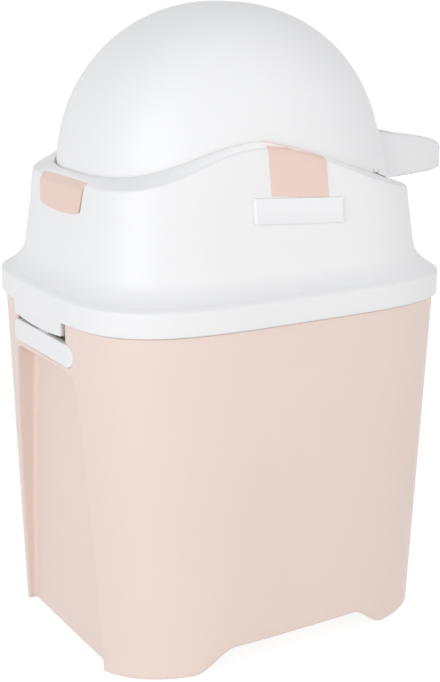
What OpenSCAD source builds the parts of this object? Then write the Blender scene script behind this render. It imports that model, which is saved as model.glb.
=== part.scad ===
// Nappy bin with a turning drum: a tub, a hinged top housing and a drum that
// flips over so that a weighted piston drops the nappy into the bag below.
// Frame: X along the long side with the drum's handle at +X, Y across, +Z up.
// The origin is the middle of the tub on the floor.

/* [Tub] */
// Half length of the tub at the floor
tub_foot_a = 160.4; // [158:0.2:162]
// Half width of the tub at the floor
tub_foot_b = 126.7; // [125:0.1:128]
// Half length of the tub under the lid's skirt
tub_top_a = 165.8; // [165:0.1:166.1]
// Half width of the tub under the lid's skirt
tub_top_b = 133.0; // [132:0.1:133.2]
// Height of the tub's rim
tub_h = 298; // [296:1:298]
// Wall thickness of the moulded parts
wall = 2.6; // [2.2:0.1:2.8]
// Height of the arch between the feet of the long sides
arch_h = 18.5; // [12:0.5:19]
// Distance of each short side recess from the middle
recess_x = 145; // [144:0.5:147]

/* [Housing] */
// Half length of the skirt
skirt_a = 168.8; // [168.6:0.1:169.4]
// Half width of the skirt
skirt_b = 136.0; // [135.8:0.1:136.4]
// Lower edge of the skirt
skirt_z = 284.2; // [284:0.1:284.6]
// Upper edge of the skirt
skirt_top = 304; // [303.6:0.1:304.4]
// Height of the shoulder at the latch end
shoulder_left = 387.5; // [386:0.5:389]
// Height of the shoulder's crest over the axle
shoulder_crest = 415.5; // [414:0.5:416]
// Height of the shoulder at the handle end
shoulder_right = 372.5; // [371:0.5:374]

/* [Drum] */
// Height of the drum's axle
axle_z = 388; // [388:0.5:388]
// Largest radius of the drum about the axle
drum_r = 132; // [131.5:0.1:132]
// Half width of the drum along the axle
drum_half_w = 105; // [104.5:0.1:105]
// Height of the mouth deck when the dome is up
deck_z = 378; // [377:0.5:378]
// Inner radius of the nappy cup
cup_r = 76; // [74:0.5:76]
// Half width of the handle
handle_w = 47; // [44:1:50]
// Reach of the handle's tip from the axle
handle_tip = 230; // [224:1:232]

/* [Hidden] */

pink = [0.92, 0.82, 0.77];
deep_pink = [0.93, 0.80, 0.75];
white = [0.95, 0.95, 0.96];
cream = [0.93, 0.90, 0.80];
steel = [0.70, 0.71, 0.73];
grey = [0.45, 0.46, 0.48];

eps = 0.01;
round_fn = 64;
ring_n = 72;

// exponents of the superellipse plans
foot_n = 3.5;
plan_n = 3.95;
drum_n = 2.67;
handle_n = 2;

// signed power, for superellipses
function spow(v, p) = sign(v) * pow(abs(v), p);
function mix(a, b, k) = a * (1 - k) + b * k;

// superellipse loop at one height
function plan_ring(a, b, n, z) = [
    for (i = [0 : ring_n - 1])
        let (t = 360 * i / ring_n)
            [a * spow(cos(t), 2 / n), b * spow(sin(t), 2 / n), z]];

// solid through a list of loops; a closed list joins its last loop to its first
module skin(loops, closed = false) {
    n = len(loops[0]);
    m = len(loops);
    spans = closed ? m : m - 1;
    sides = [
        for (k = [0 : spans - 1], i = [0 : n - 1])
            let (a = k * n + i, b = k * n + (i + 1) % n)
                let (d = ((k + 1) % m) * n + i, c = ((k + 1) % m) * n + (i + 1) % n)
                    each [[a, d, c], [a, c, b]]];
    caps = closed ? [] : [
        [for (i = [0 : n - 1]) i],
        [for (i = [n - 1 : -1 : 0]) (m - 1) * n + i]];
    polyhedron(points = [for (r = loops) each r], faces = concat(sides, caps), convexity = 10);
}

module along_y(x, y, z, r, len) {
    translate([x, y, z]) rotate([-90, 0, 0]) cylinder(r = r, h = len, $fn = round_fn);
}

module along_x(x, y, z, r, len) {
    translate([x, y, z]) rotate([0, 90, 0]) cylinder(r = r, h = len, $fn = round_fn);
}

module block(lo, hi) {
    translate(lo) cube(hi - lo);
}

// round wire coil along +Z, swept as a tube
module coil(radius, wire, height, turns) {
    steps = turns * 12;
    sides = 6;
    skin([
        for (k = [0 : steps])
            let (a = 30 * k, z = wire + (height - 2 * wire) * k / steps)
                [for (i = [0 : sides - 1])
                    let (b = -360 * i / sides, r = radius + wire * cos(b))
                        [r * cos(a), r * sin(a), z + wire * sin(b)]]]);
}

// ---------------------------------------------------------------- tub
tub_mid_z = 285;
rim_step = 0.8;
floor_z = 19.5;
recess_top = 244;
foot_half = 95;
arch_flat_half = 58;
centre_foot_r = 22;
pocket_x = 153.5;
grip_z = 258.25;
grip_half_w = 56;
grip_half_h = 9.25;
slot_half_w = 46;
slot_z = 267.2;

function tub_a(z) = mix(tub_foot_a, tub_top_a, z / tub_mid_z);
function tub_b(z) = mix(tub_foot_b, tub_top_b, z / tub_mid_z);
function tub_n(z) = mix(foot_n, plan_n, z / tub_mid_z);
function tub_ring(z, inset) = plan_ring(tub_a(z) - inset, tub_b(z) - inset, tub_n(z), z);
function tub_x(y, z) = tub_a(z) * pow(1 - pow(abs(y) / tub_b(z), tub_n(z)), 1 / tub_n(z));

// outline of the short side recess, grown by g
function recess_outline(g) = [
    [-74 - g, -1], [74 + g, -1], [72 + g, 23], [69 + g, 96], [61 + g, 194], [55 + g, 226],
    [51 + g, 236 + g], [44 + g, 242 + g], [34, recess_top + g], [-34, recess_top + g],
    [-44 - g, 242 + g], [-51 - g, 236 + g], [-55 - g, 226], [-61 - g, 194], [-69 - g, 96],
    [-72 - g, 23]];

module recess(side, x, g) {
    mirror([side < 0 ? 1 : 0, 0, 0])
        translate([x, 0, 0])
            rotate([90, 0, 90])
                linear_extrude(height = 40) polygon(recess_outline(g));
}

module grip_outline(grow) {
    r = grip_half_h + grow;
    reach = grip_half_w - grip_half_h;
    translate([-reach, grip_z]) circle(r = r, $fn = round_fn);
    translate([reach, grip_z]) circle(r = r, $fn = round_fn);
    translate([-reach, grip_z - r]) square([2 * reach, 2 * r]);
}

module grip_prism(grow, x0, x1) {
    translate([-x0, 0, 0]) rotate([90, 0, -90]) linear_extrude(height = x1 - x0) grip_outline(grow);
}

module long_side_arch() {
    difference() {
        translate([0, 200, 0])
            rotate([90, 0, 0])
                linear_extrude(height = 400)
                    polygon([
                        [-foot_half, -1], [-foot_half + 4, 0.8], [-foot_half + 12, 5], [-foot_half + 20, 11.5],
                        [-foot_half + 28, arch_h - 2], [-arch_flat_half, arch_h], [arch_flat_half, arch_h],
                        [foot_half - 28, arch_h - 2], [foot_half - 20, 11.5], [foot_half - 12, 5],
                        [foot_half - 4, 0.8], [foot_half, -1]]);
        translate([0, 0, -2]) cylinder(r = centre_foot_r, h = floor_z + 3, $fn = round_fn);
    }
}

hinge_x = 172;
hinge_z = 278;
hinge_y = 46;
hinge_r = 5.5;
hinge_pin_r = 2.5;
hinge_gap = 8.4;
hinge_leaf = 10;
running = 0.05;

module tub_knuckle(y) {
    along_y(hinge_x, y, hinge_z, hinge_r, hinge_leaf);
    block([163.8, y, hinge_z - hinge_r], [hinge_x, y + hinge_leaf, hinge_z + 4.2]);
}

module tub_cavity() {
    difference() {
        skin([tub_ring(floor_z + wall, wall), tub_ring(tub_mid_z - 2, wall),
            tub_ring(tub_mid_z, wall + rim_step), tub_ring(tub_h + 1, wall + rim_step)]);
        recess(-1, recess_x - wall, wall);
        recess(1, recess_x - wall, wall);
        block([-170, -58.5, 246.4], [-pocket_x + 2.4, 58.5, tub_h + 2]);
    }
}

module tub_underside() {
    difference() {
        skin([tub_ring(-1, wall + 0.6), tub_ring(floor_z, wall)]);
        recess(-1, recess_x - wall, wall);
        recess(1, recess_x - wall, wall);
        translate([0, 0, -2]) cylinder(r = centre_foot_r, h = floor_z + 3, $fn = round_fn);
    }
}

module tub() {
    color(pink)
        difference() {
            union() {
                skin([tub_ring(0, 1.5), tub_ring(1.5, 0), tub_ring(tub_mid_z - 2, 0),
                    tub_ring(tub_mid_z - 1.2, rim_step), tub_ring(tub_h, rim_step)]);
                for (s = [-1, 1], e = [-1, 1])
                    tub_knuckle(s * hinge_y + e * (hinge_gap + hinge_leaf / 2) - hinge_leaf / 2);
            }
            tub_cavity();
            tub_underside();
            recess(-1, recess_x, 0);
            recess(1, recess_x, 0);
            long_side_arch();
            grip_prism(0.35, pocket_x, 175);
            block([-175, -slot_half_w, slot_z], [-pocket_x, slot_half_w, tub_h + 2]);
            for (y = [-30, 30])
                along_x(-pocket_x - 1, y, grip_z, 3.3, 6);
            for (s = [-1, 1])
                along_y(hinge_x, s * hinge_y - 25, hinge_z, hinge_pin_r + running, 50);
        }
}

// ---------------------------------------------------------------- release grip
grip_back = 3.2;
stem_r = 3;
stem_end = 146.5;
clip_x = 150.6;
clip_t = 1.2;

function grip_loop(y) =
    let (s = max(0, abs(y) - (grip_half_w - grip_half_h)))
        let (h = sqrt(max(0.5, grip_half_h * grip_half_h - s * s)), x = -tub_x(y, grip_z) - 0.3)
            let (b = min(0.9, h / 2))
                [[x + grip_back, y, grip_z - h], [x + b, y, grip_z - h], [x, y, grip_z - h + b],
                    [x, y, grip_z + h - b], [x + b, y, grip_z + h], [x + grip_back, y, grip_z + h]];

module release_grip() {
    stops = [0, 20, 40, 46.75, 49.5, 52, 53.8, 55, 55.7, 56];
    rows = concat([for (i = [len(stops) - 1 : -1 : 1]) -stops[i]], stops);
    color(white)
        difference() {
            union() {
                skin([for (y = rows) grip_loop(y)]);
                for (y = [-30, 30])
                    along_x(-163, y, grip_z, stem_r, 163 - stem_end);
                block([-162.6, -9, 260], [-160.6, 9, 278.6]);
                block([-163.9, -9, 276.6], [-160.6, 9, 278.6]);
            }
            for (y = [-30, 30])
                difference() {
                    along_x(-clip_x, y, grip_z, stem_r + 1, clip_t);
                    along_x(-clip_x - 1, y, grip_z, 2.4, clip_t + 2);
                }
        }
}

module grip_springs() {
    color(steel)
        for (y = [-30, 30])
            translate([-pocket_x, y, grip_z])
                rotate([0, -90, 0])
                    coil(4.2, 0.5, 8.6, 4);
}

module grip_clips() {
    color(steel)
        for (y = [-30, 30])
            difference() {
                along_x(-clip_x + 0.05, y, grip_z, 5.5, clip_t - 0.1);
                along_x(-clip_x - 1, y, grip_z, 2.45, clip_t + 2);
            }
}

// ---------------------------------------------------------------- bag carrier and bag ring
carrier_a = 163.6;
carrier_b = 130.8;
mouth_a = 111;
mouth_b = 95;
mouth_n = 3;
collar_top = 297;

module bag_carrier() {
    color(white)
        skin([
            plan_ring(carrier_a, carrier_b, plan_n, tub_h),
            plan_ring(carrier_a, carrier_b, plan_n, tub_h + 1.6),
            plan_ring(carrier_a - 17, carrier_b - 17, 3.8, tub_h + 1.6),
            plan_ring(carrier_a - 17, carrier_b - 17, 3.8, 286.2),
            plan_ring(mouth_a + 2.5, mouth_b + 2.5, mouth_n, 286.2),
            plan_ring(mouth_a + 2.5, mouth_b + 2.5, mouth_n, collar_top - 0.6),
            plan_ring(mouth_a + 1.2, mouth_b + 1.2, mouth_n, collar_top),
            plan_ring(mouth_a, mouth_b, mouth_n, collar_top - 0.6),
            plan_ring(mouth_a, mouth_b, mouth_n, 283.8),
            plan_ring(carrier_a - 14.6, carrier_b - 14.6, 3.8, 283.8),
            plan_ring(carrier_a - 14.6, carrier_b - 14.6, 3.8, tub_h)], closed = true);
}

module bag_ring() {
    color(grey)
        skin([
            plan_ring(mouth_a + 11, mouth_b + 11, mouth_n, 286.5),
            plan_ring(mouth_a + 11, mouth_b + 11, mouth_n, 290.6),
            plan_ring(mouth_a + 9, mouth_b + 9, mouth_n, 292.2),
            plan_ring(mouth_a + 3.4, mouth_b + 3.4, mouth_n, 292.2),
            plan_ring(mouth_a + 3.1, mouth_b + 3.1, mouth_n, 291.6),
            plan_ring(mouth_a + 3.1, mouth_b + 3.1, mouth_n, 286.5)], closed = true);
}

// ---------------------------------------------------------------- housing
lip_h = 4.5;
lip_gap = 1.6;
crest_x = -30;
left_x = -143;
right_x = 145;

// height of the shoulder's outer edge: two half cosines that meet at the crest
function shoulder(x) =
    x < crest_x
        ? mix(shoulder_left, shoulder_crest, (1 - cos(180 * max(0, (x - left_x) / (crest_x - left_x)))) / 2)
        : mix(shoulder_crest, shoulder_right, (1 - cos(180 * min(1, (x - crest_x) / (right_x - crest_x)))) / 2);

// inset of the housing's wall from the skirt, above the flare
function wall_inset(z) = z < 345 ? 20.5 : (z < 358 ? 20.5 + (z - 345) * 0.146 : 22.4 + (z - 358) * 0.092);

function wall_pt(t, inset, z) = [
    (skirt_a - inset) * spow(cos(t), 2 / plan_n),
    (skirt_b - inset) * spow(sin(t), 2 / plan_n), z];

function wall_y(x, z) =
    let (a = skirt_a - wall_inset(z), b = skirt_b - wall_inset(z))
        b * pow(1 - pow(abs(x) / a, plan_n), 1 / plan_n);

function wall_x(y, z) =
    let (a = skirt_a - wall_inset(z), b = skirt_b - wall_inset(z))
        a * pow(1 - pow(abs(y) / b, plan_n), 1 / plan_n);

// radius of the drum, grown by g, at a distance s along the axle
function drum_half_width(r, g) =
    (drum_half_w + g) * pow(max(0, 1 - pow(r / (drum_r + g), drum_n)), 1 / drum_n);

// edge of the opening: it follows the drum's surface at the shoulder's height
function lip_pt(t, g, dz) =
    let (x = (drum_r + g - 0.15) * spow(cos(t), 2 / drum_n))
        let (z = shoulder(x) + lip_h)
            [x, sign(sin(t)) * drum_half_width(norm([x, z - axle_z]), g), z + dz];

function edge_pt(t, dinset, dz) =
    let (x = (skirt_a - 26) * spow(cos(t), 2 / plan_n))
        let (z = shoulder(x))
            wall_pt(t, wall_inset(z) + dinset, z + dz);

function flare(t_list, inset, z) = [for (t = t_list) wall_pt(t, inset, z)];

module housing_shell() {
    ts = [for (i = [0 : ring_n - 1]) 360 * i / ring_n];
    skin([
        flare(ts, 0.9, skirt_z), flare(ts, 0, skirt_z + 1), flare(ts, 0, skirt_top - 1.4),
        flare(ts, 1, skirt_top), flare(ts, 5, 307), flare(ts, 9.3, 310.2), flare(ts, 13.2, 314.4),
        flare(ts, 15.9, 318.8), flare(ts, 17.8, 325), flare(ts, 18.9, 332), flare(ts, 20.5, 345),
        flare(ts, 22.4, 358),
        [for (t = ts) edge_pt(t, 0, -3)], [for (t = ts) edge_pt(t, 0.8, -0.8)],
        [for (t = ts) edge_pt(t, 2.2, 0.3)],
        [for (t = ts) lip_pt(t, lip_gap + 0.8, -0.5)], [for (t = ts) lip_pt(t, lip_gap, -0.9)],
        [for (t = ts) lip_pt(t, lip_gap, -5.5)],
        [for (t = ts) edge_pt(t, wall, -7)],
        flare(ts, 22.4 + wall, 358), flare(ts, 20.5 + wall, 345), flare(ts, 18.9 + wall, 331),
        flare(ts, 15.9 + wall, 317.3), flare(ts, 9.3 + wall, 307.6), flare(ts, 4, 301.8),
        flare(ts, wall, 300.4), flare(ts, wall, skirt_z)], closed = true);
}

tab_half_w = 43.5;
tab_z = 273.5;
tab_t = 4.6;

function tab_loop(y) =
    let (x = -(skirt_a * pow(1 - pow(abs(y) / skirt_b, plan_n), 1 / plan_n)))
        [[x + tab_t, y, tab_z], [x + 0.8, y, tab_z], [x, y, tab_z + 0.8], [x, y, 290],
            [x + 2, y, 290], [x + tab_t, y, 286]];

module lid_tab() {
    skin([for (y = [-tab_half_w, -26, 0, 26, tab_half_w]) tab_loop(y)]);
    block([-164.6, -8, 273.9], [-163, 8, 276.3]);
}

// pivot covers and the saddles that they close
cover_x0 = -24;
cover_x1 = 31;
cover_z = 376.5;
cover_t = 1.8;
saddle_y = 106.35;
cover_rows = [31, 24, 16, 8, 0, -8, -16, -24];
axle_pin_r = 7;
bush_r = 9.5;

function cover_loop(x, out, gap, z0) =
    let (z = shoulder(x), yl = drum_half_width(norm([x, z + lip_h - axle_z]), lip_gap))
        [[x, wall_y(x, z0) + out, z0], [x, wall_y(x, z0) - cover_t + gap, z0],
            [x, wall_y(x, z - cover_t) - cover_t + gap, z - cover_t + gap],
            [x, yl + 0.2, z + 1.2], [x, yl + 0.2, z + lip_h - 0.7],
            [x, wall_y(x, z) - 1.9, z + 1 + out], [x, wall_y(x, z) - 0.5 + out / 2, z - 0.2 + out / 2],
            [x, wall_y(x, z - 3) + out, z - 3]];

module pivot_cover() {
    skin([for (x = cover_rows) cover_loop(x + (x < 0 ? 0.1 : -0.1) * (abs(x) > 23 ? 1 : 0), 0.5, 0.05, cover_z)]);
}

function saddle_loop(x) =
    let (z = shoulder(x) - 0.9)
        [[x, saddle_y, 364], [x, saddle_y, z], [x, wall_y(x, z) - 1.2, z], [x, wall_y(x, 364) - 1.2, 364]];

module saddle() {
    skin([for (x = [28.5, 24, 16, 8, 0, -8, -16, -21.5]) saddle_loop(x)]);
}

module cover_pocket() {
    rows = [cover_x1 + 0.1, 24, 16, 8, 0, -8, -16, cover_x0 - 0.1];
    skin([
        for (x = rows)
            let (z = shoulder(x) - cover_t, y = wall_y(x, z) - cover_t)
                [[x, 118, cover_z - 0.1], [x, wall_y(x, cover_z) - cover_t, cover_z - 0.1],
                    [x, y, z], [x, y, z + 14], [x, 118, z + 14]]]);
    skin([
        for (x = rows)
            let (z = shoulder(x) - cover_t)
                [[x, 112, z], [x, 103.7, z], [x, 103.7, z + 14], [x, 112, z + 14]]]);
}

bar_half_w = 40.5;
bar_z0 = 356;
bar_z1 = 376;
bar_t = 3.4;

function bar_loop(x, thin) = [
    [x, wall_y(x, bar_z0) + bar_t - thin, bar_z0 + 0.6], [x, wall_y(x, bar_z0) + bar_t - 0.8 - thin, bar_z0],
    [x, wall_y(x, bar_z0) + 0.1, bar_z0], [x, wall_y(x, bar_z1) + 0.1, bar_z1],
    [x, wall_y(x, bar_z1) + bar_t - 0.8 - thin, bar_z1], [x, wall_y(x, bar_z1) + bar_t - thin, bar_z1 - 0.6]];

module label_bar() {
    skin([for (x = [bar_half_w, bar_half_w - 1, 20, 0, -20, 1 - bar_half_w, -bar_half_w])
        bar_loop(x, abs(x) > bar_half_w - 0.5 ? 0.8 : 0)]);
    for (x = [-28, 28])
        along_y(x, 109.2, 366, 2.4, 4);
}

lock_half_w = 39;
lock_z0 = 363;
lock_out = 1.9;
lock_slope = 0.1143;
lock_spring_x = 138;
lock_spring_z0 = 354.5;
lock_spring_z1 = 369.9;

function lock_loop(y, thin) =
    let (b = wall_x(y, lock_z0), m = wall_x(y, 383))
        [[-b - lock_out + thin, y, lock_z0], [-m - lock_out + thin, y, 383], [-m - 1 + thin, y, 384.7],
            [-139.7, y, 388.9], [-139.7, y, 381.4], [-137.5, y, 381.4], [-137.5, y, 370],
            [-wall_x(y, 370) - 0.4, y, 370], [-b - 0.4, y, lock_z0]];

module lock_button() {
    color(deep_pink)
        union() {
            skin([for (y = [-lock_half_w, 1.2 - lock_half_w, -20, 0, 20, lock_half_w - 1.2, lock_half_w])
                lock_loop(y, abs(y) > lock_half_w - 1 ? 0.9 : 0)]);
            block([-142, -6, 370], [-133.8, 6, 375]);
        }
}

module lock_spring() {
    color(steel)
        translate([-lock_spring_x, 0, lock_spring_z0])
            coil(3, 0.5, lock_spring_z1 - lock_spring_z0, 6);
}

module lid_knuckle(y) {
    half = hinge_gap - 0.4;
    along_y(hinge_x, y - half, hinge_z, hinge_r, 2 * half);
    block([hinge_x - 5, y - half, hinge_z], [hinge_x + 3, y + half, skirt_z + 12]);
}

module housing() {
    color(white)
        difference() {
            union() {
                housing_shell();
                lid_tab();
                for (m = [0, 1]) mirror([0, m, 0]) saddle();
                for (s = [-1, 1]) lid_knuckle(s * hinge_y);
                block([-146, -7, 351.8], [-134, 7, lock_spring_z0]);
            }
            for (m = [0, 1])
                mirror([0, m, 0]) {
                    cover_pocket();
                    along_y(0, 100, axle_z, bush_r, 12);
                    for (x = [-28, 28]) along_y(x, 105, 366, 2.5, 12);
                }
            block([-160, -lock_half_w - 0.4, 365.4], [-139.2, lock_half_w + 0.4, 400]);
            for (s = [-1, 1])
                along_y(hinge_x, s * hinge_y - 25, hinge_z, hinge_pin_r + running, 50);
        }
}

module hinge_pins() {
    reach = hinge_gap + hinge_leaf;
    color(steel)
        for (s = [-1, 1])
            along_y(hinge_x, s * hinge_y - reach, hinge_z, hinge_pin_r, 2 * reach);
}

module front_pivot_cover() {
    color(deep_pink) mirror([0, 1, 0]) pivot_cover();
}

module rear_pivot_cover() {
    color(deep_pink) pivot_cover();
}

module front_label_bar() {
    color(white) mirror([0, 1, 0]) label_bar();
}

module rear_label_bar() {
    color(white) label_bar();
}

module bush() {
    difference() {
        along_y(0, saddle_y + 0.05, axle_z, bush_r, 1.7);
        along_y(0, 100, axle_z, axle_pin_r + running, 12);
    }
}

module front_bush() {
    color(grey) mirror([0, 1, 0]) bush();
}

module rear_bush() {
    color(grey) bush();
}

module drum_seal() {
    ts = [for (i = [0 : ring_n - 1]) 360 * i / ring_n];
    color(cream)
        difference() {
            skin([
                [for (t = ts) lip_pt(t, lip_gap - 0.05, -5.2)], [for (t = ts) lip_pt(t, lip_gap - 0.05, -1.6)],
                [for (t = ts) lip_pt(t, 0.5, -1.2)], [for (t = ts) lip_pt(t, 0.5, -2.6)]], closed = true);
            for (m = [0, 1])
                mirror([0, m, 0])
                    block([cover_x0 - 1, 90, 380], [cover_x1 + 1, 120, 430]);
        }
}

// ---------------------------------------------------------------- drum
deck_t = 2.6;
handle_root = 60;
handle_mid = 115;
handle_drop = 0.205;
handle_top_z = 420.5;
handle_under_z = 375;
scoop_depth = 12;

// body of revolution about the axle, grown by g
module drum_body(g) {
    translate([0, 0, axle_z])
        rotate([90, 0, 0])
            rotate_extrude($fn = 96)
                polygon([
                    for (i = [-12 : 12])
                        let (a = 7.5 * i)
                            [(drum_r + g) * pow(max(0, cos(a)), 2 / drum_n),
                                (drum_half_w + g) * spow(sin(a), 2 / drum_n)]]);
}

function handle_top(x) = handle_top_z - handle_drop * (x - handle_mid);

// plan of the handle: straight sides from its root and a half superellipse to the tip
function handle_xy(i, inset) =
    i == 0 ? [handle_root, inset - handle_w]
    : i == 32 ? [handle_root, handle_w - inset]
    : let (t = 6 * i - 96)
        [handle_mid + (handle_tip - handle_mid - inset) * pow(max(0, cos(t)), 2 / handle_n),
            (handle_w - inset) * spow(sin(t), 2 / handle_n)];

function handle_ring(inset, k, dz) = [
    for (i = [0 : 32])
        let (p = handle_xy(i, inset))
            [p[0], p[1], mix(handle_under_z, handle_top(p[0]), k) + dz]];

module handle_form() {
    skin([
        handle_ring(1.4, 0, 0), handle_ring(0, 0, 1.4), handle_ring(0, 0.28, 0), handle_ring(0, 0.62, 0),
        handle_ring(1.4, 0.86, 0), handle_ring(3.6, 0.97, 0), handle_ring(6, 1, 0),
        handle_ring(9, 0.99, -0.6), handle_ring(12, 1, -4), handle_ring(14, 1, -scoop_depth)]);
}

// everything under the shoulder's line, which the handle must stay clear of
module below_shoulder() {
    translate([0, 150, 0])
        rotate([90, 0, 0])
            linear_extrude(height = 300)
                polygon(concat([[147, 340], [20, 340]],
                    [for (x = [20 : 14 : 146]) [x, shoulder(x) + lip_h + 1.2]], [[147, 376]]));
}

module handle_cavity() {
    difference() {
        skin([handle_ring(3, 0, -5), handle_ring(3, 0, 6), handle_ring(5, 1, -scoop_depth - 2.6)]);
        translate([1.5, 0, 2.4]) below_shoulder();
        block([50, -60, 360], [108, 60, 420]);
    }
}

screw_x = 100;
screw_y = 48;

module drum_shell() {
    color(white)
        difference() {
            union() {
                intersection() {
                    union() {
                        difference() {
                            drum_body(0);
                            drum_body(-wall);
                        }
                        for (s = [-1, 1])
                            along_y(0, s > 0 ? 93 : -103.5, axle_z, 12, 10.5);
                        intersection() {
                            drum_body(-0.5);
                            for (sx = [-1, 1], sy = [-1, 1])
                                translate([sx * screw_x, sy * screw_y, deck_z + deck_t])
                                    cylinder(r = 4.5, h = 90, $fn = round_fn);
                        }
                    }
                    block([-140, -110, deck_z], [140, 110, 530]);
                }
                difference() {
                    handle_form();
                    below_shoulder();
                    drum_body(-0.5);
                }
            }
            handle_cavity();
            along_y(0, -112, axle_z, axle_pin_r, 224);
            for (sx = [-1, 1], sy = [-1, 1])
                translate([sx * screw_x, sy * screw_y, deck_z])
                    cylinder(r = 1.5, h = 16, $fn = round_fn);
        }
}

module handle_cover() {
    color(white)
        difference() {
            skin([handle_ring(3.2, 0, 0.4), handle_ring(3.2, 0, 2.6)]);
            translate([2.8, 0, 0]) below_shoulder();
            drum_body(0.1);
        }
}

module axle_pin() {
    along_y(0, 94, axle_z, axle_pin_r, 13.8);
}

module front_axle_pin() {
    color(grey) mirror([0, 1, 0]) axle_pin();
}

module rear_axle_pin() {
    color(grey) axle_pin();
}

cup_wall = 2.4;
cup_top = 476;
cup_lip_r = cup_r - 2.4;

module cup_liner() {
    color(white)
        difference() {
            union() {
                intersection() {
                    drum_body(-wall - 0.1);
                    block([-140, -110, deck_z], [140, 110, deck_z + deck_t]);
                }
                translate([0, 0, deck_z]) cylinder(r = cup_r + cup_wall, h = cup_top - deck_z, $fn = 96);
            }
            translate([0, 0, deck_z + 2]) cylinder(r = cup_r, h = 120, $fn = 96);
            translate([0, 0, deck_z - 1]) cylinder(r = cup_lip_r, h = 10, $fn = 96);
            for (s = [-1, 1])
                along_y(0, s > 0 ? 92.6 : -112.6, axle_z, 12.3, 20);
            for (sx = [-1, 1], sy = [-1, 1])
                translate([sx * screw_x, sy * screw_y, deck_z - 1])
                    cylinder(r = 1.8, h = 8, $fn = round_fn);
        }
}

module cup_cap() {
    color(white)
        difference() {
            union() {
                translate([0, 0, cup_top]) cylinder(r = cup_r + cup_wall, h = 2.4, $fn = 96);
                translate([0, 0, cup_top - 4]) cylinder(r = cup_r - 0.1, h = 5, $fn = 96);
            }
            translate([0, 0, cup_top - 5]) cylinder(r = cup_r - 2.4, h = 5, $fn = 96);
            translate([0, 0, cup_top - 6]) cylinder(r = 6, h = 12, $fn = round_fn);
        }
}

module drum_screws() {
    color(steel)
        for (sx = [-1, 1], sy = [-1, 1])
            translate([sx * screw_x, sy * screw_y, deck_z])
                difference() {
                    union() {
                        translate([0, 0, -2]) cylinder(r = 3.4, h = 2, $fn = round_fn);
                        cylinder(r = 1.45, h = 14, $fn = round_fn);
                    }
                    block([-2.4, -0.4, -3], [2.4, 0.4, -1]);
                    block([-0.4, -2.4, -3], [0.4, 2.4, -1]);
                }
}

// ---------------------------------------------------------------- piston
piston_r = cup_r - 0.6;
piston_z = deck_z + 2.1;
piston_h = 16;
seal_z = piston_z + 7;

module piston() {
    color(grey)
        difference() {
            translate([0, 0, piston_z]) cylinder(r = piston_r, h = piston_h, $fn = 96);
            translate([0, 0, piston_z + 2.5]) cylinder(r = piston_r - 3.6, h = piston_h, $fn = 96);
            translate([0, 0, seal_z])
                difference() {
                    cylinder(r = piston_r + 1, h = 3, $fn = 96);
                    translate([0, 0, -1]) cylinder(r = piston_r - 1.4, h = 5, $fn = 96);
                }
        }
}

module piston_weight() {
    color(steel)
        translate([0, 0, piston_z + 2.5])
            cylinder(r = 60, h = 6, $fn = 96);
}

module piston_cap() {
    color(grey) {
        translate([0, 0, piston_z + piston_h]) cylinder(r = piston_r, h = 2, $fn = 96);
        translate([0, 0, piston_z + piston_h - 3])
            difference() {
                cylinder(r = piston_r - 3.7, h = 4, $fn = 96);
                translate([0, 0, -1]) cylinder(r = piston_r - 6, h = 4, $fn = 96);
            }
    }
}

module piston_seal() {
    color(cream)
        translate([0, 0, seal_z + 0.1])
            difference() {
                cylinder(r = cup_r - 0.15, h = 2.8, $fn = 96);
                translate([0, 0, -1]) cylinder(r = piston_r - 1.35, h = 5, $fn = 96);
            }
}

tub();
release_grip();
grip_springs();
grip_clips();
bag_carrier();
bag_ring();
housing();
hinge_pins();
front_pivot_cover();
rear_pivot_cover();
front_label_bar();
rear_label_bar();
front_bush();
rear_bush();
drum_seal();
lock_button();
lock_spring();
drum_shell();
handle_cover();
front_axle_pin();
rear_axle_pin();
cup_liner();
cup_cap();
drum_screws();
piston();
piston_weight();
piston_cap();
piston_seal();
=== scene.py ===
import math

import bpy
import numpy as np
from mathutils import Matrix, Vector


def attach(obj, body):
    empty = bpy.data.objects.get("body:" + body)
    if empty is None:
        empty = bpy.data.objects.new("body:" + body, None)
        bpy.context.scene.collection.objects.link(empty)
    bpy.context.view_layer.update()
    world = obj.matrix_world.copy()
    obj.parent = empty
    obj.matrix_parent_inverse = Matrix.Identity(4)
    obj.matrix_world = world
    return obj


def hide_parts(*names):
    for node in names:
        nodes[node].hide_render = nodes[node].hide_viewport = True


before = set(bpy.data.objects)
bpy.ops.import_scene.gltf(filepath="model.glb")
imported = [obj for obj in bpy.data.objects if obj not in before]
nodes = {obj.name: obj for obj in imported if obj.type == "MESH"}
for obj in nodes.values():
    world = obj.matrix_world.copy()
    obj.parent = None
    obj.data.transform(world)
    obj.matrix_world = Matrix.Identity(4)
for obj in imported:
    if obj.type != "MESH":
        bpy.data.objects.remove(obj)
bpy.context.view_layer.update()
MM = 0.001

# ------------------------------------------------------------------ stage
# A plain pale floor, a camera and soft studio light. The camera looks down on
# the bin a little, from the latch end's front corner.

TARGET = Vector((0.0404, 0.0639, 0.2153))
AZIMUTH, ELEVATION, ROLL = (math.radians(v) for v in (31.377, 15.468, 0.334))
DISTANCE = 1.2207
LENS_MM = 70.02
SENSOR_MM = 36.0
CAMERA_REACH = 50.0

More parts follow.
